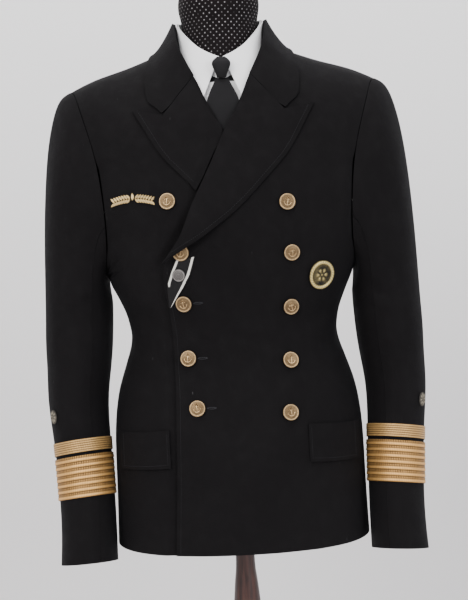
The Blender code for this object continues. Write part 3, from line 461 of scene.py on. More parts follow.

# %% [markdown]
# ## Creases
# Soft troughs and ridges: drag lines that run to the waist buttons, a break at each
# elbow, fullness at the armholes and slow folds in the skirt. Each is a line on the front, the back
# or a sleeve, and moves the cloth in or out along a smooth hollow. Layers move together.

# %% Crease table
# Each row: area, start x and z, end x and z, half width, depth
CREASES = (
    ("front", 0.162, 1.128, 0.100, 1.092, 0.0110, -0.0026),
    ("front", 0.160, 1.098, 0.098, 1.070, 0.0090, 0.0016),
    ("front", 0.158, 1.060, 0.104, 1.052, 0.0100, -0.0022),
    ("front", 0.166, 1.020, 0.112, 1.034, 0.0110, -0.0018),
    ("front", 0.176, 1.300, 0.168, 1.200, 0.0110, -0.0030),
    ("front", 0.158, 1.285, 0.160, 1.215, 0.0120, 0.0018),
    ("front", 0.120, 0.930, 0.126, 0.800, 0.0200, 0.0022),
    ("front", 0.070, 0.915, 0.064, 0.800, 0.0180, -0.0018),
    ("front", 0.020, 0.930, 0.012, 0.800, 0.0160, 0.0014),
    ("front", 0.010, 1.075, 0.055, 1.062, 0.0090, -0.0011),
    ("back", 0.150, 1.120, 0.070, 1.085, 0.0110, -0.0026),
    ("back", 0.148, 1.060, 0.060, 1.052, 0.0110, -0.0022),
    ("back", 0.150, 1.330, 0.132, 1.200, 0.0150, -0.0030),
    ("back", 0.100, 1.360, 0.030, 1.375, 0.0120, -0.0018),
    ("back", 0.095, 0.940, 0.100, 0.800, 0.0200, 0.0024),
    ("back", 0.035, 0.960, 0.030, 0.800, 0.0180, -0.0018),
    ("sleeve_front", 0.196, 1.128, 0.232, 1.108, 0.0085, -0.0030),
    ("sleeve_front", 0.190, 1.098, 0.226, 1.092, 0.0080, -0.0026),
    ("sleeve_front", 0.206, 1.160, 0.240, 1.135, 0.0100, -0.0022),
    ("sleeve_front", 0.232, 1.080, 0.226, 0.985, 0.0120, -0.0018),
    ("sleeve_front", 0.196, 1.290, 0.214, 1.180, 0.0140, -0.0026),
    ("sleeve_front", 0.232, 1.330, 0.240, 1.200, 0.0160, 0.0018),
    ("sleeve_back", 0.200, 1.140, 0.236, 1.118, 0.0110, -0.0028),
    ("sleeve_back", 0.198, 1.060, 0.232, 1.082, 0.0110, -0.0024),
    ("sleeve_back", 0.214, 1.300, 0.224, 1.180, 0.0150, -0.0024),
)
# Each row: height, and the x and y of the sleeve's middle there
SLEEVE_AXIS = ((0.95, 0.220, -0.018), (1.05, 0.218, -0.001), (1.20, 0.214, 0.004), (1.40, 0.196, 0.004))


CREASE_LEAN = 0.0012
BODY_HALF_WIDTH = 0.170
BODY_HALF_DEPTH = 0.120
SIDE_SEAM_FADE = 0.030
LACE_TOP_Z = 0.950
LACE_FADE = 0.030
ARMHOLE_Z = 1.400
ARMHOLE_FADE = 0.050


def crease_shift(points, worn_on):
    """How far the creases move each point. Worn_on is body or sleeve."""
    points = np.asarray(points, dtype=float)
    x, y, z = np.abs(points[:, 0]), points[:, 1], points[:, 2]
    lean = CREASE_LEAN * np.sign(points[:, 0])
    axis = np.array(SLEEVE_AXIS)
    if worn_on == "sleeve":
        off = np.stack([points[:, 0] - np.sign(points[:, 0]) * np.interp(z, axis[:, 0], axis[:, 1]),
                        y - np.interp(z, axis[:, 0], axis[:, 2])], axis=-1)
        front = off[:, 1] < 0.0
        side_on = np.abs(off[:, 1]) / (np.linalg.norm(off, axis=1) + 1e-9)
    else:
        off = np.stack([points[:, 0] / BODY_HALF_WIDTH ** 2, y / BODY_HALF_DEPTH ** 2], axis=-1)
        front = y < 0.0
        side_on = np.clip(np.abs(y) / SIDE_SEAM_FADE, 0.0, 1.0)
    outward = off / (np.linalg.norm(off, axis=1)[:, None] + 1e-9)
    moved = np.zeros(len(points))
    for area, start_x, start_z, end_x, end_z, half_width, depth in CREASES:
        if area.startswith("sleeve") != (worn_on == "sleeve"):
            continue
        facing = front if area.endswith("front") else ~front
        run = np.array((end_x - start_x, end_z - start_z))
        share = ((x - start_x) * run[0] + (z + lean - start_z) * run[1]) / (run @ run)
        held = np.clip(share, 0.0, 1.0)
        wander = 0.25 * half_width * np.sin(5.0 * held + 40.0 * depth * points[:, 0] / 0.1)
        away = np.hypot(x - start_x - held * run[0], z + lean - start_z - held * run[1] + wander)
        amount = depth * np.exp(-(away / half_width) ** 2) * (0.55 + 0.45 * np.cos(2.6 * (held - 0.35)))
        moved += np.where(facing, amount * side_on, 0.0)
    if worn_on == "sleeve":
        moved *= np.clip((z - LACE_TOP_Z) / LACE_FADE, 0.0, 1.0)
        moved *= np.clip((ARMHOLE_Z - z) / ARMHOLE_FADE, 0.0, 1.0)
    shift = np.zeros_like(points)
    shift[:, :2] = outward * moved[:, None]
    return shift


for solid, piece in PIECES.items():
    worn_on = "sleeve" if "sleeve" in solid else "body"
    if solid.startswith(("front", "back", "lapel", "pocket", "top_sleeve", "under_sleeve")):
        points = coordinates(piece.data)
        set_coordinates(piece.data, points + crease_shift(points, worn_on))
print("creases", len(CREASES))

# The shirt front reaches up behind the tie knot, where the band starts
SHIRT_RISE_Z = 1.404
SHIRT_STRETCH = 1.9
bib = coordinates(PIECES["shirt_front"].data)
bib[:, 2] += np.clip(bib[:, 2] - SHIRT_RISE_Z, 0.0, 1.0) * SHIRT_STRETCH
set_coordinates(PIECES["shirt_front"].data, bib)

# %% [markdown]
# ## Points on the sleeves and on the fronts
# Lace, badges and sewing sit on cloth that is already there. A place on a sleeve comes from the same
# bent axis that the solid uses, and a place on the fronts is found by looking along +Y until the
# shell is met, as a tailor marks it from the front.

# %% Places
# Each row: height, middle's x and y, half width, half depth, tilt forward and outward in degrees
SLEEVE_SECTIONS = (
    (0.769, 0.2138, -0.056, 0.0388, 0.053, 11.0, 3.0),
    (0.820, 0.2130, -0.046, 0.0378, 0.052, 11.0, 4.5),
    (0.879, 0.2150, -0.034, 0.0380, 0.052, 11.0, 6.0),
    (0.933, 0.2184, -0.022, 0.0390, 0.054, 10.5, 6.0),
    (0.984, 0.2220, -0.011, 0.0415, 0.057, 8.0, 3.0),
    (1.031, 0.2195, -0.003, 0.0445, 0.061, 4.0, 1.0),
    (1.076, 0.2172, 0.001, 0.0470, 0.065, 1.0, 0.0),
    (1.118, 0.2150, 0.002, 0.0470, 0.066, 0.0, 0.0),
)


def smooth_at(rows, key, column):
    """Reads one column of a table between its rows, along a smooth curve."""
    last = len(rows) - 1
    i = 0
    while i < last - 1 and key > rows[i + 1][0]:
        i += 1

    def slope(k):
        before = rows[max(k - 1, 0)]
        after = rows[min(k + 1, last)]
        return (after[column] - before[column]) / (after[0] - before[0])

    span = rows[i + 1][0] - rows[i][0]
    t = min(max((key - rows[i][0]) / span, 0.0), 1.0)
    start = rows[i][column]
    rise = rows[i + 1][column] - start
    a = slope(i) * span
    b = slope(i + 1) * span
    return start + a * t + (3 * rise - 2 * a - b) * t ** 2 + (a + b - 2 * rise) * t ** 3


def sleeve_ring(height, angles, out, side=1.0):
    """Points round the sleeve at a height, at angles in degrees and distances outside it."""
    centre_x, centre_y, half_width, half_depth, fore, outer = (
        smooth_at(SLEEVE_SECTIONS, height, c) for c in range(1, 7))
    turn = np.radians(angles)
    x = -(half_width + out) * np.cos(turn)
    y = (half_depth + out) * np.sin(turn)
    z = height - y * math.tan(math.radians(fore)) - x * math.tan(math.radians(outer))
    return np.stack([side * (centre_x + x), centre_y + y, z], axis=-1)


LOOK_FROM_Y = -0.6


def tree_of(*pieces):
    """A search tree over the faces of some pieces."""
    points = []
    faces = []
    for piece in pieces:
        start = len(points)
        points += [v.co.copy() for v in piece.data.vertices]
        faces += [[start + v for v in p.vertices] for p in piece.data.polygons]
    return BVHTree.FromPolygons(points, faces)


def met(tree, x, z, out=0.0):
    """The point and outward direction where a look along +Y at x and z meets the cloth."""
    place, outward = tree.ray_cast(Vector((x, LOOK_FROM_Y, z)), Vector((0.0, 1.0, 0.0)))[:2]
    if outward.y > 0.0:
        outward = -outward
    return place + outward * out, outward


# %% Mesh helpers


def piece_from(name, points, faces, finish, replaced=(), relief=None, sharp=38.0):
    """A piece from points and faces. Relief is one value a point, for the material."""
    mesh = bpy.data.meshes.new(name)
    mesh.from_pydata([tuple(p) for p in points], [], faces)
    mesh.shade_smooth()
    mesh.set_sharp_from_angle(angle=math.radians(sharp))
    if relief is not None:
        layer = mesh.attributes.new("relief", "FLOAT", "POINT")
        layer.data.foreach_set("value", np.ascontiguousarray(relief, dtype=float))
    made = bpy.data.objects.new(name, mesh)
    scene.collection.objects.link(made)
    return finish_piece(made, finish, replaced)


def grid_faces(rows, columns, start=0, wrap=False, flip=False):
    """Quads over a grid of points numbered row by row."""
    faces = []
    for r in range(rows - 1):
        for c in range(columns if wrap else columns - 1):
            d = (c + 1) % columns
            a = start + r * columns
            b = a + columns
            quad = (a + c, a + d, b + d, b + c)
            faces.append(quad[::-1] if flip else quad)
    return faces


def wall_of(outer, inner, wrap=False):
    """Points and faces of a closed wall between two grids of points."""
    rows, columns = outer.shape[:2]
    under = rows * columns
    points = np.concatenate([outer.reshape(-1, 3), inner.reshape(-1, 3)])
    faces = grid_faces(rows, columns, 0, wrap) + grid_faces(rows, columns, under, wrap, True)
    top = (rows - 1) * columns
    for c in range(columns if wrap else columns - 1):
        d = (c + 1) % columns
        faces.append((c, under + c, under + d, d))
        faces.append((top + c, top + d, under + top + d, under + top + c))
    if not wrap:
        last = columns - 1
        for r in range(rows - 1):
            a = r * columns
            b = a + columns
            faces.append((a, b, under + b, under + a))
            faces.append((a + last, under + a + last, under + b + last, b + last))
    return points, faces


def disc_of(radius, rings, segments, height_at, under, shank=0.0):
    """Points, faces and relief of a round plate with a worked face. Height_at takes x and y."""
    radii = radius * np.linspace(0.0, 1.0, rings + 1)[1:]
    angles = math.tau * np.arange(segments) / segments
    x = np.concatenate([[0.0], np.outer(radii, np.cos(angles)).ravel()])
    y = np.concatenate([[0.0], np.outer(radii, np.sin(angles)).ravel()])
    height, relief = height_at(x, y)
    points = np.stack([x, y, height], axis=-1)
    faces = [(0, 1 + s, 1 + (s + 1) % segments) for s in range(segments)]
    faces += [face[::-1] for face in grid_faces(rings, segments, 1, True)]
    extra = [(radius, under)]
    if shank:
        extra += [(shank, under), (shank, 0.0)]
    last = 1 + (rings - 1) * segments
    for ring_radius, level in extra:
        start = len(points)
        ring = np.stack([ring_radius * np.cos(angles), ring_radius * np.sin(angles),
                         np.full(segments, level)], axis=-1)
        points = np.concatenate([points, ring])
        relief = np.concatenate([relief, np.zeros(segments)])
        for s in range(segments):
            t = (s + 1) % segments
            faces.append((last + s, start + s, start + t, last + t))
        last = start
    faces.append(tuple(last + s for s in reversed(range(segments))))
    return points, faces, relief


def seat_of(solid, spin=0.0):
    """Where a turned solid sits: its place at the base, and its across, up and outward directions."""
    points = coordinates(FRAME_NODES[solid].data)
    middle = points.mean(axis=0)
    outward = np.linalg.eigh(np.cov((points - middle).T))[1][:, 0]
    off = points - middle
    along = off @ outward
    aside = np.linalg.norm(off - np.outer(along, outward), axis=1)
    if along[np.argmin(aside)] < 0.0:
        outward = -outward
        along = -along
    across = np.cross([0.0, 0.0, 1.0], outward)
    across /= np.linalg.norm(across)
    up = np.cross(outward, across)
    turn = math.radians(spin)
    turned = across * math.cos(turn) + up * math.sin(turn)
    return middle + outward * along.min(), turned, np.cross(outward, turned), outward


def seated(points, seat):
    """Flat-drawn points moved to a seat."""
    place, across, up, outward = seat
    return place + points @ np.array([across, up, outward])


# %% [markdown]
# ## Metals and gold thread
# Gilt buttons are stamped, so their hollows keep a brown tarnish and their crowns wear bright. Lace
# is flattened gilt wire wound on thread; its colour is painted light and shade: a painted highlight on
# the crown of each rope, painted shade in the grooves.
# The mesh carries a relief value at each point, and the materials read it.

# %% Metal materials


def make_metal(name, low, high, low_rough, high_rough, metallic, grain, depth):
    """A worked metal coloured by the relief of the mesh: tarnished hollows and rubbed crowns on the
    buttons, painted shade in the grooves and a painted highlight on the crowns of the lace.
    """
    made, tree, shader = new_material(name, high_rough, metallic)
    relief = node(tree, "ShaderNodeAttribute", attribute_name="relief").outputs["Fac"]
    fine = noise(tree, own_place(tree), grain, 4.0)
    wear = use_group(tree, WEAR, {"Size": 55.0, "Contrast": 0.9})
    scatter = times(tree, math_node(tree, "SUBTRACT", fine, 0.5), 0.55)
    share = ramp(tree, math_node(tree, "ADD", relief, scatter), 0.0, 1.0)
    colour = mixed(tree, share, (*low, 1.0), (*high, 1.0))
    dull = tuple(0.6 * value for value in high)
    colour = mixed(tree, times(tree, wear.outputs["Rub"], 0.35), colour, (*dull, 1.0))
    rough = ramp(tree, share, 0.0, 1.0, low_rough, high_rough)
    finish_shader(tree, shader, colour, fine, depth, 0.6, rough)
    return made


# Each row: name, colour of hollows and of crowns, roughness of each, metallic, grain scale and depth
METALS = (
    ("Gilt brass", (0.040, 0.020, 0.009), (0.66, 0.46, 0.25), 0.55, 0.34, 1.0, 900.0, 0.00010),
    # The lace's hollow colour is painted shade in the grooves and on the rope sides, and its crown colour
    # is a painted highlight.
    ("Gold rope lace", (0.024, 0.009, 0.002), (0.92, 0.51, 0.165), 0.65, 0.45, 0.60, 1600.0, 0.00014),
    ("Gold fine lace", (0.028, 0.014, 0.004), (0.70, 0.42, 0.155), 0.65, 0.46, 0.50, 1900.0, 0.00014),
    ("Gold bullion", (0.10, 0.065, 0.025), (0.80, 0.60, 0.30), 0.60, 0.40, 0.65, 1500.0, 0.00012),
    ("Badge gilt", (0.010, 0.010, 0.011), (0.86, 0.68, 0.28), 0.45, 0.30, 0.85, 900.0, 0.00006),
    ("Dull thread", (0.020, 0.018, 0.016), (0.42, 0.37, 0.28), 0.80, 0.55, 0.35, 1500.0, 0.00016),
    ("Dull pewter", (0.035, 0.033, 0.032), (0.30, 0.28, 0.27), 0.60, 0.42, 0.85, 900.0, 0.00010),
)
gilt, lace_gold, lace_fine, bullion, badge_gilt, dull_thread, pewter = (make_metal(*row) for row in METALS)

# %% [markdown]
# ## Buttons
# Ten stamped shank buttons. The face is worked as a height over a polar grid: a twisted rope round
# the rim, a low dome, and a plain anchor, an old and common sign of the sea. One drawing serves
# all ten, each sewn on with its own small turn.

# %% Buttons
BUTTON_RADIUS = 0.0109
ROPE_RADIUS = 0.0011
ROPE_STRANDS = 46
ROPE_LEVEL = 0.0033
TWIST_DEPTH = 0.00024
DOME_LEVEL = 0.0034
DOME_RISE = 0.0015
ANCHOR_LIFT = 0.0011
ANCHOR_SLOPE = 0.00045


def near_line(x, y, start, end, thick):
    """How far inside a round-ended bar each point is."""
    run = np.array(end) - np.array(start)
    share = np.clip(((x - start[0]) * run[0] + (y - start[1]) * run[1]) / (run @ run), 0.0, 1.0)
    return thick - np.hypot(x - start[0] - share * run[0], y - start[1] - share * run[1])


def anchor_inside(x, y):
    """How far inside an anchor's outline each point is, in metres."""
    arms = 0.0008 - np.abs(np.hypot(x, y + 0.0006) - 0.0044)
    arms = np.where((y < -0.0022), arms, -1.0)
    parts = [
        near_line(x, y, (0.0, -0.0048), (0.0, 0.0034), 0.00075),
        near_line(x, y, (-0.0030, 0.0024), (0.0030, 0.0024), 0.00062),
        0.00042 - np.abs(np.hypot(x, y - 0.0048) - 0.0011),
        near_line(x, y, (-0.0040, -0.0028), (-0.0048, -0.0008), 0.00085),
        near_line(x, y, (0.0040, -0.0028), (0.0048, -0.0008), 0.00085),
        arms,
    ]
    return np.max(parts, axis=0)


def button_face(x, y):
    """Height and relief of the button's face."""
    distance = np.hypot(x, y)
    angle = np.arctan2(y, x)
    share = distance / BUTTON_RADIUS
    dome = DOME_LEVEL + DOME_RISE * (1.0 - share ** 2)
    raised = np.clip(anchor_inside(x, y) / ANCHOR_SLOPE, 0.0, 1.0)
    raised = raised * raised * (3.0 - 2.0 * raised)
    offset = (distance - (BUTTON_RADIUS - ROPE_RADIUS)) / ROPE_RADIUS
    on_rope = np.abs(offset) < 1.0
    round_it = np.sqrt(np.clip(1.0 - offset ** 2, 0.0, 1.0))
    twist = np.sin(ROPE_STRANDS * angle + 2.6 * offset)
    rope = ROPE_LEVEL + ROPE_RADIUS * round_it + TWIST_DEPTH * twist * round_it
    height = np.where(on_rope, rope, dome + ANCHOR_LIFT * raised)
    relief = np.where(on_rope, 0.42 + 0.38 * twist * round_it + 0.2 * round_it, 0.20 + 0.75 * raised)
    return height, np.clip(relief, 0.0, 1.0)


button_points, button_faces, button_relief = disc_of(BUTTON_RADIUS, 34, 92, button_face, 0.0022, 0.0030)
BUTTON_TURNS = {"right": (4.0, -9.0, 12.0, -5.0, 7.0), "left": (-12.0, 3.0, 15.0, -6.0, 9.0)}
for side_name, turns in BUTTON_TURNS.items():
    for number, turn in enumerate(turns, 1):
        solid = f"button_{side_name}_{number}"
        seat = seat_of(solid, turn)
        points = seated(button_points, seat) + crease_shift([seat[0]], "body")
        piece_from(f"{solid}_gilt", points, button_faces, gilt, (solid,), button_relief)
print("button faces", len(button_faces))

# %% [markdown]
# ## Sleeve lace
# A flag officer's cuff: one wide ring woven as seven parallel ropes, and one narrow ring of fine
# ribs above it. Each ring is a tube that follows the sleeve's slant. The ropes are rounded ridges
# whose strands run round the sleeve at a slant, spaced by true length and not by angle.

# %% Lace
LACE_GAP = 0.0007
LACE_GROUND = 0.0006
ROPE_ROWS = 8
# Each row: ring, top and bottom height, number of ropes, rope's rise, strand pitch, finish
LACE_RINGS = (
    ("narrow", 0.9330, 0.9155, 6, 0.0005, 0.0024, lace_fine),
    ("wide", 0.9115, 0.8560, 7, 0.0011, 0.0032, lace_gold),
)
LACE_COLUMNS = 360

# Each rope is laid from a dull thin strand above a bright full one. Places are shares of the rope.
# Each strand: its middle, half width, fullness, the tone of its painted crown highlight and how far its
# single threads show as painted light and shade
STRAND_PAIR = ((-0.65, 0.36, 0.75, 0.55, 0.40), (0.35, 0.66, 1.00, 0.86, 0.16))
FINE_RIB = (0.0, 1.0, 1.0, 0.80, 0.26)


def add_lace(ring, side_name, side):
    """One ring of lace: its ropes outside and a plain back against the sleeve."""
    label, top, bottom, ropes, crown, pitch, finish = ring
    angles = 360.0 * np.arange(LACE_COLUMNS) / LACE_COLUMNS
    middle = sleeve_ring((top + bottom) / 2.0, angles, LACE_GAP)
    step = np.linalg.norm(np.roll(middle, -1, axis=0) - middle, axis=1)
    travelled = np.concatenate([[0.0], np.cumsum(step)[:-1]])
    turns = max(1, round(float(step.sum()) / pitch))
    phase = math.tau * turns * travelled / float(step.sum())
    rows = ropes * ROPE_ROWS + 1
    outer = []
    inner = []
    relief = []
    for r in range(rows):
        height = top + (bottom - top) * r / (rows - 1)
        rope = r // ROPE_ROWS
        across = 2.0 * ((r / ROPE_ROWS) % 1.0) - 1.0
        strand = STRAND_PAIR[0] if label == "wide" and across < -0.3 else STRAND_PAIR[1]
        middle_at, half, fullness, tone, ticks = strand if label == "wide" else FINE_RIB
        round_it = 0.0
        if r % ROPE_ROWS:
            round_it = fullness * math.sqrt(max(0.0, 1.0 - ((across - middle_at) / half) ** 2))
        strands = np.sin(phase + 1.7 * across + 2.1 * rope)
        uneven = 0.10 * np.sin(phase / turns * 5.0 + 1.3 * rope)
        out = LACE_GAP + LACE_GROUND + crown * round_it * (1.0 + uneven) + 0.16 * crown * strands * round_it
        outer.append(sleeve_ring(height, angles, out, side))
        inner.append(sleeve_ring(height, angles, LACE_GAP * 0.7, side))
        # The relief paints each rope: dark at the gaps and on its rounded sides as painted shade, bright on
        # its crown and on each strand's twist as a painted highlight.
        relief.append(0.05 + tone * round_it ** 2 + ticks * strands * round_it)
    outer = np.array(outer)
    inner = np.array(inner)
    if side < 0.0:
        outer = outer[:, ::-1]
        inner = inner[:, ::-1]
        relief = [row[::-1] for row in relief]
    points, faces = wall_of(outer, inner, wrap=True)
    relief = np.concatenate([np.clip(relief, 0.0, 1.0).ravel(), np.zeros(rows * LACE_COLUMNS)])
    solid = f"lace_{label}_{side_name}"
    return piece_from(f"{solid}_gold", points, faces, finish, (solid,), relief, 60.0)


for ring in LACE_RINGS:
    for side_name, side in SIDES:
        PIECES[f"lace_{ring[0]}_{side_name}"] = add_lace(ring, side_name, side)
print("lace faces", [len(PIECES[f"lace_{ring[0]}_left"].data.polygons) for ring in LACE_RINGS])

# %% [markdown]
# ## Badges, spray and ribbon
# Small plain ornaments of common design: a thread rosette on each cuff, a round wreath with a
# rosette, a spray of leaves, and a striped ribbon held by a turned clasp.

# %% Round badges
CUFF_ROSETTE_RADIUS = 0.0098
BADGE_RADIUS = 0.0200
CLASP_RADIUS = 0.0085
WREATH_RADIUS = 0.0172
WREATH_HALF = 0.0026


def thread_rosette(x, y):
    """Height and relief of eight embroidered petals."""
    distance = np.hypot(x, y) / CUFF_ROSETTE_RADIUS
    angle = np.arctan2(y, x)
    petal = 0.5 + 0.5 * np.cos(8.0 * angle)
    body = np.clip(1.0 - np.abs(distance - 0.55) / 0.42, 0.0, 1.0)
    threads = 0.5 + 0.5 * np.sin(46.0 * angle + 9.0 * distance)
    raised = petal * body
    centre = np.clip(1.0 - distance / 0.20, 0.0, 1.0)
    height = 0.0009 + 0.0012 * raised + 0.0010 * centre + 0.00015 * threads * raised
    return height, np.clip(0.85 * raised + 0.7 * centre + 0.15 * threads * body, 0.0, 1.0)


def wreath_face(x, y):
    """Height and relief of a leaf ring round a six-petal rosette on dark enamel."""
    distance = np.hypot(x, y)
    angle = np.arctan2(y, x)
    offset = (distance - WREATH_RADIUS) / WREATH_HALF
    ring = np.sqrt(np.clip(1.0 - offset ** 2, 0.0, 1.0))
    leaves = 0.5 + 0.5 * np.sin(30.0 * angle + 2.4 * offset)
    petals = np.clip(1.0 - np.abs(distance - 0.0062) / 0.0036, 0.0, 1.0)
    petals = petals * (0.5 + 0.5 * np.cos(6.0 * angle))
    boss = np.clip(1.0 - distance / 0.0022, 0.0, 1.0)
    height = 0.0016 + 0.0018 * ring * (0.8 + 0.2 * leaves) + 0.0010 * petals + 0.0009 * boss
    relief = ring * (0.55 + 0.45 * leaves) + 0.62 * petals + 0.5 * boss
    return height, np.clip(relief, 0.0, 1.0)


def clasp_face(x, y):
    """Height and relief of a plain domed clasp with a turned rim."""
    share = np.hypot(x, y) / CLASP_RADIUS
    rim = np.clip(1.0 - np.abs(share - 0.86) / 0.12, 0.0, 1.0)
    ripple = 0.5 + 0.5 * np.cos(share * 22.0)
    height = 0.0014 + 0.0016 * (1.0 - share ** 2) + 0.0006 * rim + 0.0002 * ripple
    return height, np.clip(0.25 + 0.55 * rim + 0.2 * ripple, 0.0, 1.0)


# Each row: solid, what its name ends in, radius, rings, segments, drawing, finish, slot
DISCS = (
    ("cuff_badge_left", "rosette", CUFF_ROSETTE_RADIUS, 20, 96, thread_rosette, dull_thread, "gold_lace"),
    ("cuff_badge_right", "rosette", CUFF_ROSETTE_RADIUS, 20, 96, thread_rosette, dull_thread, "gold_lace"),
    ("round_badge", "wreath", BADGE_RADIUS, 30, 120, wreath_face, badge_gilt, "gilt_brass"),
    ("ribbon_clasp", "pewter", CLASP_RADIUS, 16, 64, clasp_face, pewter, "pewter"),
)
for solid, ending, radius, rings, segments, drawing, finish, slot_name in DISCS:
    drawn, faces, relief = disc_of(radius, rings, segments, drawing, 0.0)
    points = seated(drawn, seat_of(solid))
    piece_from(f"{solid}_{ending}", points, faces, finish, (solid,), relief)
print("round badges made")

# %% Leaf spray
SPRAY_X = -0.1255
SPRAY_Z = 1.262
SPRAY_HALF = 0.0290
SPRAY_PAIRS = 7
LEAF_BACK = 0.0006
LEAF_GROUND = 0.0011
LEAF_DOME = 0.0014
LEAF_HALF_WIDTH = 0.0016
LEAF_LEAN = 0.0046
LEAF_UP = 0.0056
LEAF_DOWN = 0.0054
FRONT_CLOTH = tree_of(PIECES["front_left"], PIECES["front_right"])


def leaf_grid(base, tip, width):
    """A small domed leaf between two places on the cloth, with a centre groove."""
    run = np.array(tip) - np.array(base)
    aside = np.array((-run[1], run[0])) / np.hypot(*run)
    outer = []
    inner = []
    relief = []
    for r in range(9):
        share = r / 8.0
        half = width * (0.06 + math.sin(math.pi * min(share * 0.96 + 0.02, 1.0)) ** 0.8)
        row = []
        under = []
        for c in range(7):
            across = c / 3.0 - 1.0
            x, z = np.array(base) + run * share + aside * half * across
            dome = math.sqrt(max(0.0, 1.0 - across ** 2)) * (1.0 - 0.30 * math.exp(-(across / 0.22) ** 2))
            place, outward = met(FRONT_CLOTH, x, z)
            row.append(place + outward * (LEAF_GROUND + LEAF_DOME * dome))
            under.append(place + outward * LEAF_BACK)
            relief.append(0.20 + 0.75 * dome)
        outer.append(row)
        inner.append(under)
    return np.array(outer), np.array(inner), relief


spray_points = []
spray_faces = []
spray_relief = []
for i in range(SPRAY_PAIRS * 2 + 1):
    pair = (i + 1) // 2
    share = pair / (SPRAY_PAIRS + 0.6) * (1 if i % 2 else -1)
    root_x = SPRAY_X + SPRAY_HALF * 0.92 * share
    root_z = SPRAY_Z + 0.0015 - 0.0050 * share ** 2
    if i == 0:
        leaves = [((root_x, root_z - 0.002), (root_x, root_z + 0.0072), 0.0021)]
    else:
        tip_x = root_x + LEAF_LEAN * (1 if share > 0 else -1)
        leaves = [((root_x, root_z), (tip_x, root_z + LEAF_UP), LEAF_HALF_WIDTH),
                  ((root_x, root_z), (tip_x, root_z - LEAF_DOWN), LEAF_HALF_WIDTH)]
    for base, tip, width in leaves:
        outer, inner, relief = leaf_grid(base, tip, width)
        points, faces = wall_of(outer, inner)
        start = sum(len(p) for p in spray_points)
        spray_points.append(points)
        spray_faces += [tuple(start + v for v in face) for face in faces]
        spray_relief.append(np.concatenate([relief, np.zeros(len(relief))]))
spray = piece_from("breast_spray_bullion", np.concatenate(spray_points), spray_faces, bullion,
                   ("breast_spray",), np.concatenate(spray_relief), 50.0)
print("spray faces", len(spray.data.polygons))

# %% Ribbon
# Each row, from the top down: the left edge's x and z, then the right edge's
RIBBON = (
    (-0.0725, 1.1795, -0.0470, 1.1835),
    (-0.0795, 1.1650, -0.0545, 1.1600),
    (-0.0850, 1.1500, -0.0638, 1.1435),
    (-0.0850, 1.1350, -0.0740, 1.1290),
    (-0.0845, 1.1175, -0.0825, 1.1165),
)


def make_ribbon():
    """Dark ribbed ribbon with a pale stripe near each edge. The mesh carries the share across it."""
    made, tree, shader = new_material("Striped ribbon", 0.6, Sheen_Weight=0.05, Specular_IOR_Level=0.2)
    across = node(tree, "ShaderNodeAttribute", attribute_name="relief").outputs["Fac"]
    weave = use_group(tree, WEAVE, {"Threads per metre": 900.0, "Slant": 0.1, "Unevenness": 0.2})
    from_middle = math_node(tree, "ABSOLUTE", math_node(tree, "SUBTRACT", across, 0.5))
    stripe = times(tree, ramp(tree, from_middle, 0.33, 0.345), ramp(tree, from_middle, 0.475, 0.46))
    height = node(tree, "ShaderNodeSeparateXYZ", {0: own_place(tree)}).outputs["Z"]
    low_left = times(tree, ramp(tree, height, 1.146, 1.144), ramp(tree, across, 0.52, 0.48))
    stripe = times(tree, stripe, math_node(tree, "SUBTRACT", 1.0, low_left))
    colour = mixed(tree, stripe, (0.0045, 0.0040, 0.0045, 1.0), (0.66, 0.64, 0.59, 1.0))
    finish_shader(tree, shader, colour, weave.outputs["Height"], 0.00015, 0.7)
    return made


ribbon_cloth = make_ribbon()
PIECES["ribbon"] = shell("ribbon_cloth", "ribbon", ribbon_cloth, 3)
ribbon_rows = np.array(RIBBON)
steps = np.linspace(0.0, len(RIBBON) - 1.0, 161)
rows = np.stack([np.interp(steps, np.arange(len(RIBBON)), ribbon_rows[:, c]) for c in range(4)], axis=-1)
shares = np.linspace(0.0, 1.0, 61)
grid_x = rows[:, None, 0] + (rows[:, None, 2] - rows[:, None, 0]) * shares[None]
grid_z = rows[:, None, 1] + (rows[:, None, 3] - rows[:, None, 1]) * shares[None]
across = []
for x, y, z in coordinates(PIECES["ribbon"].data):
    nearest = np.argmin((grid_x - x) ** 2 + (grid_z - z) ** 2)
    across.append(shares[nearest % len(shares)])
layer = PIECES["ribbon"].data.attributes.new("relief", "FLOAT", "POINT")
layer.data.foreach_set("value", np.array(across))

# %% [markdown]
# ## Tie, form, neck and stand
# The neck is covered in a dark cloth with pale dots in a slanting lattice. The pole is turned wood,
# stained red brown, and the foot is the same wood.

# %% Dotted cloth and wood
DOT_PITCH = 0.0086
DOT_RADIUS = 0.00095
NECK_ROUND = 0.0540


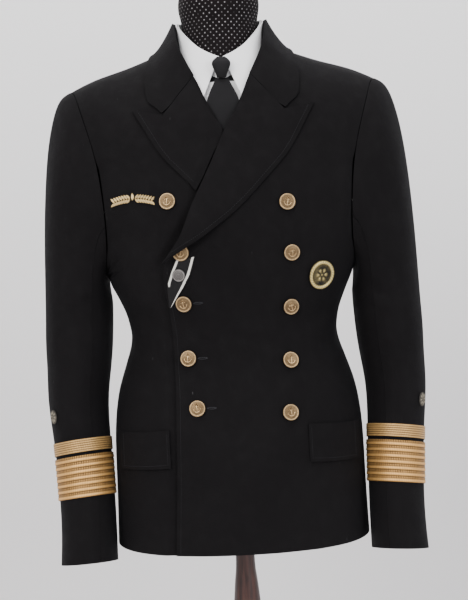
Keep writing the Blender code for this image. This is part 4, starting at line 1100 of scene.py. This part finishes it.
def make_dotted():
    """Dark cloth with pale dots on two square lattices, each set in the other's middles."""
    made, tree, shader = new_material("Dotted cloth", 0.85, Specular_IOR_Level=0.12)
    coords = own_place(tree)
    parts = node(tree, "ShaderNodeSeparateXYZ", {0: coords})
    angle = math_node(tree, "ARCTAN2", parts.outputs["X"], times(tree, parts.outputs["Y"], -1.0))
    along = times(tree, angle, NECK_ROUND / DOT_PITCH)
    height = math_node(tree, "DIVIDE", parts.outputs["Z"], DOT_PITCH)
    marks = []
    for shift in (0.0, 0.5):
        square = []
        for value in (along, height):
            part = math_node(tree, "FRACT", math_node(tree, "ADD", value, shift))
            part = math_node(tree, "SUBTRACT", part, 0.5)
            square.append(times(tree, part, part))
        away = math_node(tree, "SQRT", math_node(tree, "ADD", square[0], square[1]))
        marks.append(ramp(tree, away, DOT_RADIUS / DOT_PITCH * 1.25, DOT_RADIUS / DOT_PITCH * 0.75))
    dots = math_node(tree, "MAXIMUM", marks[0], marks[1])
    wear = use_group(tree, WEAR, {"Size": 30.0, "Contrast": 0.9})
    ground = mixed(tree, wear.outputs["Mottle"], (0.0042, 0.0028, 0.0032, 1.0),
                   (0.0080, 0.0056, 0.0062, 1.0))
    shown = times(tree, dots, ramp(tree, noise(tree, coords, 130.0, 2.0), 0.25, 0.75))
    colour = mixed(tree, shown, ground, (0.34, 0.32, 0.33, 1.0))
    weave = use_group(tree, WEAVE, {"Threads per metre": 1100.0, "Slant": 1.0, "Unevenness": 0.3})
    finish_shader(tree, shader, colour, weave.outputs["Height"], 0.00014, 0.6)
    return made


def make_wood():
    """Red-brown stained wood with a long upright grain and a worn varnish."""
    made, tree, shader = new_material("Red brown wood", 0.38)
    long_grain = node(tree, "ShaderNodeMapping", {"Vector": own_place(tree), "Scale": (1.0, 1.0, 0.045)})
    grain = noise(tree, long_grain.outputs[0], 210.0, 6.0)
    broad = noise(tree, long_grain.outputs[0], 38.0, 2.0)
    colour = mixed(tree, ramp(tree, grain, 0.36, 0.68), (0.018, 0.0060, 0.0042, 1.0),
                   (0.075, 0.026, 0.019, 1.0))
    shade = times(tree, ramp(tree, broad, 0.4, 0.7), 0.5)
    colour = mixed(tree, shade, colour, (0.040, 0.014, 0.010, 1.0))
    wear = use_group(tree, WEAR, {"Size": 24.0, "Contrast": 0.8})
    rough = ramp(tree, wear.outputs["Mottle"], 0.0, 1.0, 0.30, 0.48)
    finish_shader(tree, shader, colour, grain, 0.00012, 0.4, rough)
    return made


dotted = make_dotted()
wood = make_wood()
PIECES["tie_knot"] = shell("tie_knot_silk", "tie_knot", silk, 3)
shell("form_torso_canvas", "form_torso", canvas, 1)
shell("form_neck_cloth", "form_neck", dotted, 2)
shell("stand_pole_wood", "stand_pole", wood, 2)
shell("stand_foot_wood", "stand_foot", wood, 2)
print("form and stand made")

# %% [markdown]
# ## Sewing
# One Geometry Nodes tree lays short stitches along a path: it resamples the path at the stitch
# pitch, puts one small thread on each place along its run, and gives the thread its material. The
# same tree with a closer pitch makes the worked edge of a buttonhole.

# %% Stitch tree


def make_stitch_tree():
    """Short threads along the edges of a path mesh."""
    tree = bpy.data.node_groups.new("Stitches along a path", "GeometryNodeTree")
    tree.is_modifier = True
    tree.interface.new_socket("Path", in_out="INPUT", socket_type="NodeSocketGeometry")
    for label, value, kind in (("Pitch", 0.003, "Float"), ("Stitch length", 0.0018, "Float"),
                               ("Thread thickness", 0.0004, "Float"), ("Seed", 4, "Int")):
        socket = tree.interface.new_socket(label, in_out="INPUT", socket_type=f"NodeSocket{kind}")
        socket.default_value = value
    tree.interface.new_socket("Thread", in_out="INPUT", socket_type="NodeSocketMaterial")
    tree.interface.new_socket("Stitches", in_out="OUTPUT", socket_type="NodeSocketGeometry")
    given = tree.nodes.new("NodeGroupInput").outputs
    curve = node(tree, "GeometryNodeMeshToCurve", {"Mesh": given["Path"]}).outputs[0]
    spaced = node(tree, "GeometryNodeResampleCurve", {"Curve": curve, "Length": given["Pitch"]},
                  mode="LENGTH")
    tangent = node(tree, "GeometryNodeInputTangent").outputs[0]
    turned = node(tree, "FunctionNodeAlignRotationToVector", {"Vector": tangent}, axis="X").outputs[0]
    uneven = node(tree, "FunctionNodeRandomValue", {2: 0.85, 3: 1.15, "Seed": given["Seed"]},
                  data_type="FLOAT")
    half = times(tree, given["Stitch length"], 0.5)
    half = times(tree, half, uneven.outputs[1])
    thick = times(tree, given["Thread thickness"], 0.5)
    size = node(tree, "ShaderNodeCombineXYZ", {0: half, 1: thick, 2: thick}).outputs[0]
    thread = node(tree, "GeometryNodeMeshIcoSphere", {"Radius": 1.0, "Subdivisions": 2}).outputs[0]
    placed = node(tree, "GeometryNodeInstanceOnPoints",
                  {"Points": spaced.outputs[0], "Instance": thread, "Rotation": turned, "Scale": size})
    real = node(tree, "GeometryNodeRealizeInstances", {0: placed.outputs[0]}).outputs[0]
    dyed = node(tree, "GeometryNodeSetMaterial", {"Geometry": real, "Material": given["Thread"]})
    result = tree.nodes.new("NodeGroupOutput")
    tree.links.new(dyed.outputs[0], result.inputs[0])
    return tree


def make_thread(name, colour, rough):
    """Twisted thread of one colour."""
    made, tree, shader = new_material(name, rough)
    fibres = use_group(tree, FIBRES, {"Amount": 0.2})
    pale = tuple(min(1.0, 1.5 * value) for value in colour)
    nap = mixed(tree, fibres.outputs["Nap"], (*colour, 1.0), (*pale, 1.0))
    tree.links.new(nap, shader.inputs["Base Color"])
    return made


STITCHES = make_stitch_tree()
navy_thread = make_thread("Navy thread", (0.011, 0.011, 0.014), 0.6)
white_thread = make_thread("White thread", (0.80, 0.80, 0.82), 0.6)


def sew(name, paths, thread, pitch=0.0030, length=0.0021, thickness=0.00040):
    """Stitches along some paths of places, as one plain mesh."""
    points = []
    edges = []
    for path in paths:
        start = len(points)
        points += [tuple(p) for p in path]
        edges += [(start + i, start + i + 1) for i in range(len(path) - 1)]
    mesh = bpy.data.meshes.new(f"{name}_path")
    mesh.from_pydata(points, edges, [])
    made = bpy.data.objects.new(name, mesh)
    scene.collection.objects.link(made)
    sewn = made.modifiers.new("stitches", "NODES")
    sewn.node_group = STITCHES
    values = {"Pitch": pitch, "Stitch length": length, "Thread thickness": thickness, "Thread": thread}
    for item in STITCHES.interface.items_tree:
        if item.in_out == "INPUT" and item.name in values:
            sewn[item.identifier] = values[item.name]
    plain = plain_mesh(made, name)
    made.modifiers.clear()
    made.data = plain
    plain.shade_smooth()
    return finish_piece(made, thread)


def along_cloth(tree, places, out=0.00035, step=0.004):
    """A path of points on the cloth through some places given as x and z."""
    path = []
    for (x0, z0), (x1, z1) in zip(places, places[1:]):
        count = max(1, int(math.hypot(x1 - x0, z1 - z0) / step))
        for i in range(count):
            path.append((x0 + (x1 - x0) * i / count, z0 + (z1 - z0) * i / count))
    path.append(places[-1])
    return [met(tree, x, z, out)[0] for x, z in path]


def inset(places, distance):
    """The same line of places moved to its left by a distance."""
    moved = []
    for i, (x, z) in enumerate(places):
        before = places[max(i - 1, 0)]
        after = places[min(i + 1, len(places) - 1)]
        run = Vector((after[0] - before[0], after[1] - before[1])).normalized()
        moved.append((x - run.y * distance, z + run.x * distance))
    return moved


# %% Edge stitching and buttonholes
LAPEL_EDGE = (
    (-0.0727, 1.187), (-0.0532, 1.1985), (-0.0366, 1.208), (-0.0170, 1.222), (0.0048, 1.2376),
    (0.0268, 1.257), (0.0484, 1.279), (0.0780, 1.310), (0.0898, 1.326), (0.0990, 1.342), (0.1190, 1.377),
)
FRONT_EDGE = ((-0.0905, 0.792), (-0.0853, 0.884), (-0.0815, 1.000), (-0.0820, 1.080), (-0.0862, 1.118))
EDGE_INSET = 0.0055
LAPEL_CLOTH = tree_of(*(PIECES[solid] for solid in (
    "lapel_left", "lapel_right", "collar_fall", "front_left", "front_right")))
left_edge = inset(LAPEL_EDGE, EDGE_INSET)
right_edge = [(-x, z) for x, z in inset(LAPEL_EDGE[6:], EDGE_INSET)]
sew("lapel_stitches", [along_cloth(LAPEL_CLOTH, left_edge), along_cloth(LAPEL_CLOTH, right_edge)],
    navy_thread)
front_line = [(x + EDGE_INSET, z) for x, z in FRONT_EDGE]
sew("front_edge_stitches", [along_cloth(FRONT_CLOTH, front_line)], navy_thread)
FLAP_CORNERS = ((0.0965, 0.948), (0.0965, 0.909), (0.1575, 0.903), (0.1575, 0.945))
for side_name, side in SIDES:
    flap_tree = tree_of(PIECES[f"pocket_flap_{side_name}"], PIECES[f"front_{side_name}"])
    corners = [(side * x, z) for x, z in FLAP_CORNERS]
    sew(f"flap_stitches_{side_name}", [along_cloth(flap_tree, corners)], navy_thread)

HOLE_SHIFT = 0.0185
HOLE_HALF_LENGTH = 0.0062
HOLE_HALF_HEIGHT = 0.0011
HOLE_PLACES = ((-0.0646, 1.1215), (-0.0621, 1.0476), (-0.0533, 0.9820))
holes = []
for x, z in HOLE_PLACES:
    loop = []
    for i in range(41):
        turn = math.tau * i / 40.0
        across = HOLE_SHIFT + HOLE_HALF_LENGTH * math.cos(turn)
        loop.append((x + across, z + HOLE_HALF_HEIGHT * math.sin(turn)))
    holes.append([met(FRONT_CLOTH, px, pz, 0.0002)[0] for px, pz in loop])
sew("buttonholes", holes, navy_thread, 0.0009, 0.0012, 0.0009)

# The shirt collar is stitched near the front edge of each wing
SHIRT_WING = ((0.0060, 1.4430), (0.0125, 1.4280), (0.0190, 1.4130), (0.0240, 1.4010))
wing_cloth = tree_of(PIECES["shirt_collar"])
wings = [along_cloth(wing_cloth, [(side * x, z) for x, z in SHIRT_WING], 0.00015) for side in (1.0, -1.0)]
sew("shirt_collar_stitches", wings, white_thread, 0.0021, 0.0015, 0.00028)
print("sewing made")

# %% [markdown]
# ## Cloth sheets
# Each panel is listed with the size of its flat cut, and its measured area is printed beside the flat
# one. What shows gives the cut: the table lists the panels of the body as hanging from the form's
# shoulders and the layers on them as laid.

# %% Sheets
# Each row: solid, flat width, length and area, how it is held, and what it rests on. A name that
# ends in an underscore stands for the left one and the right one.
SHEETS = (
    ("front_", 0.350, 0.690, 0.1920, "hung", ("form_torso",)),
    ("back_", 0.250, 0.690, 0.1460, "hung", ("form_torso",)),
    ("lapel_left", 0.110, 0.260, 0.0170, "folded", ("front_left",)),
    ("lapel_right", 0.105, 0.165, 0.0092, "folded", ("front_right",)),
    ("collar_fall", 0.430, 0.080, 0.0305, "folded", ("collar_stand",)),
    ("collar_stand", 0.400, 0.040, 0.0120, "hung", ("form_torso",)),
    ("top_sleeve_", 0.260, 0.670, 0.1310, "hung", ("front_", "back_")),
    ("under_sleeve_", 0.145, 0.515, 0.0540, "hung", ("top_sleeve_",)),
    ("pocket_flap_", 0.096, 0.056, 0.0050, "hung", ("front_",)),
    ("shirt_front", 0.105, 0.178, 0.0183, "hung", ("form_torso",)),
    ("shirt_band", 0.380, 0.033, 0.0112, "folded", ("form_neck",)),
    ("shirt_collar", 0.420, 0.045, 0.0152, "folded", ("shirt_band",)),
    ("tie_blade", 0.075, 0.190, 0.0114, "hung", ("shirt_front",)),
    ("ribbon", 0.030, 0.070, 0.0014, "laid", ("front_left",)),
    ("lace_narrow_", 0.298, 0.018, 0.0053, "stretched", ("top_sleeve_", "under_sleeve_")),
    ("lace_wide_", 0.292, 0.056, 0.0163, "stretched", ("top_sleeve_", "under_sleeve_")),
)
for name, width, length, area, held, below in SHEETS:
    for turn, solid in enumerate(sided(name)):
        measured = sum(face.area for face in PIECES[solid].data.polygons) / 2.0
        print(f"sheet {solid}: measured {measured:.4f}, flat {area:.4f}, ratio {measured / area:.2f}")
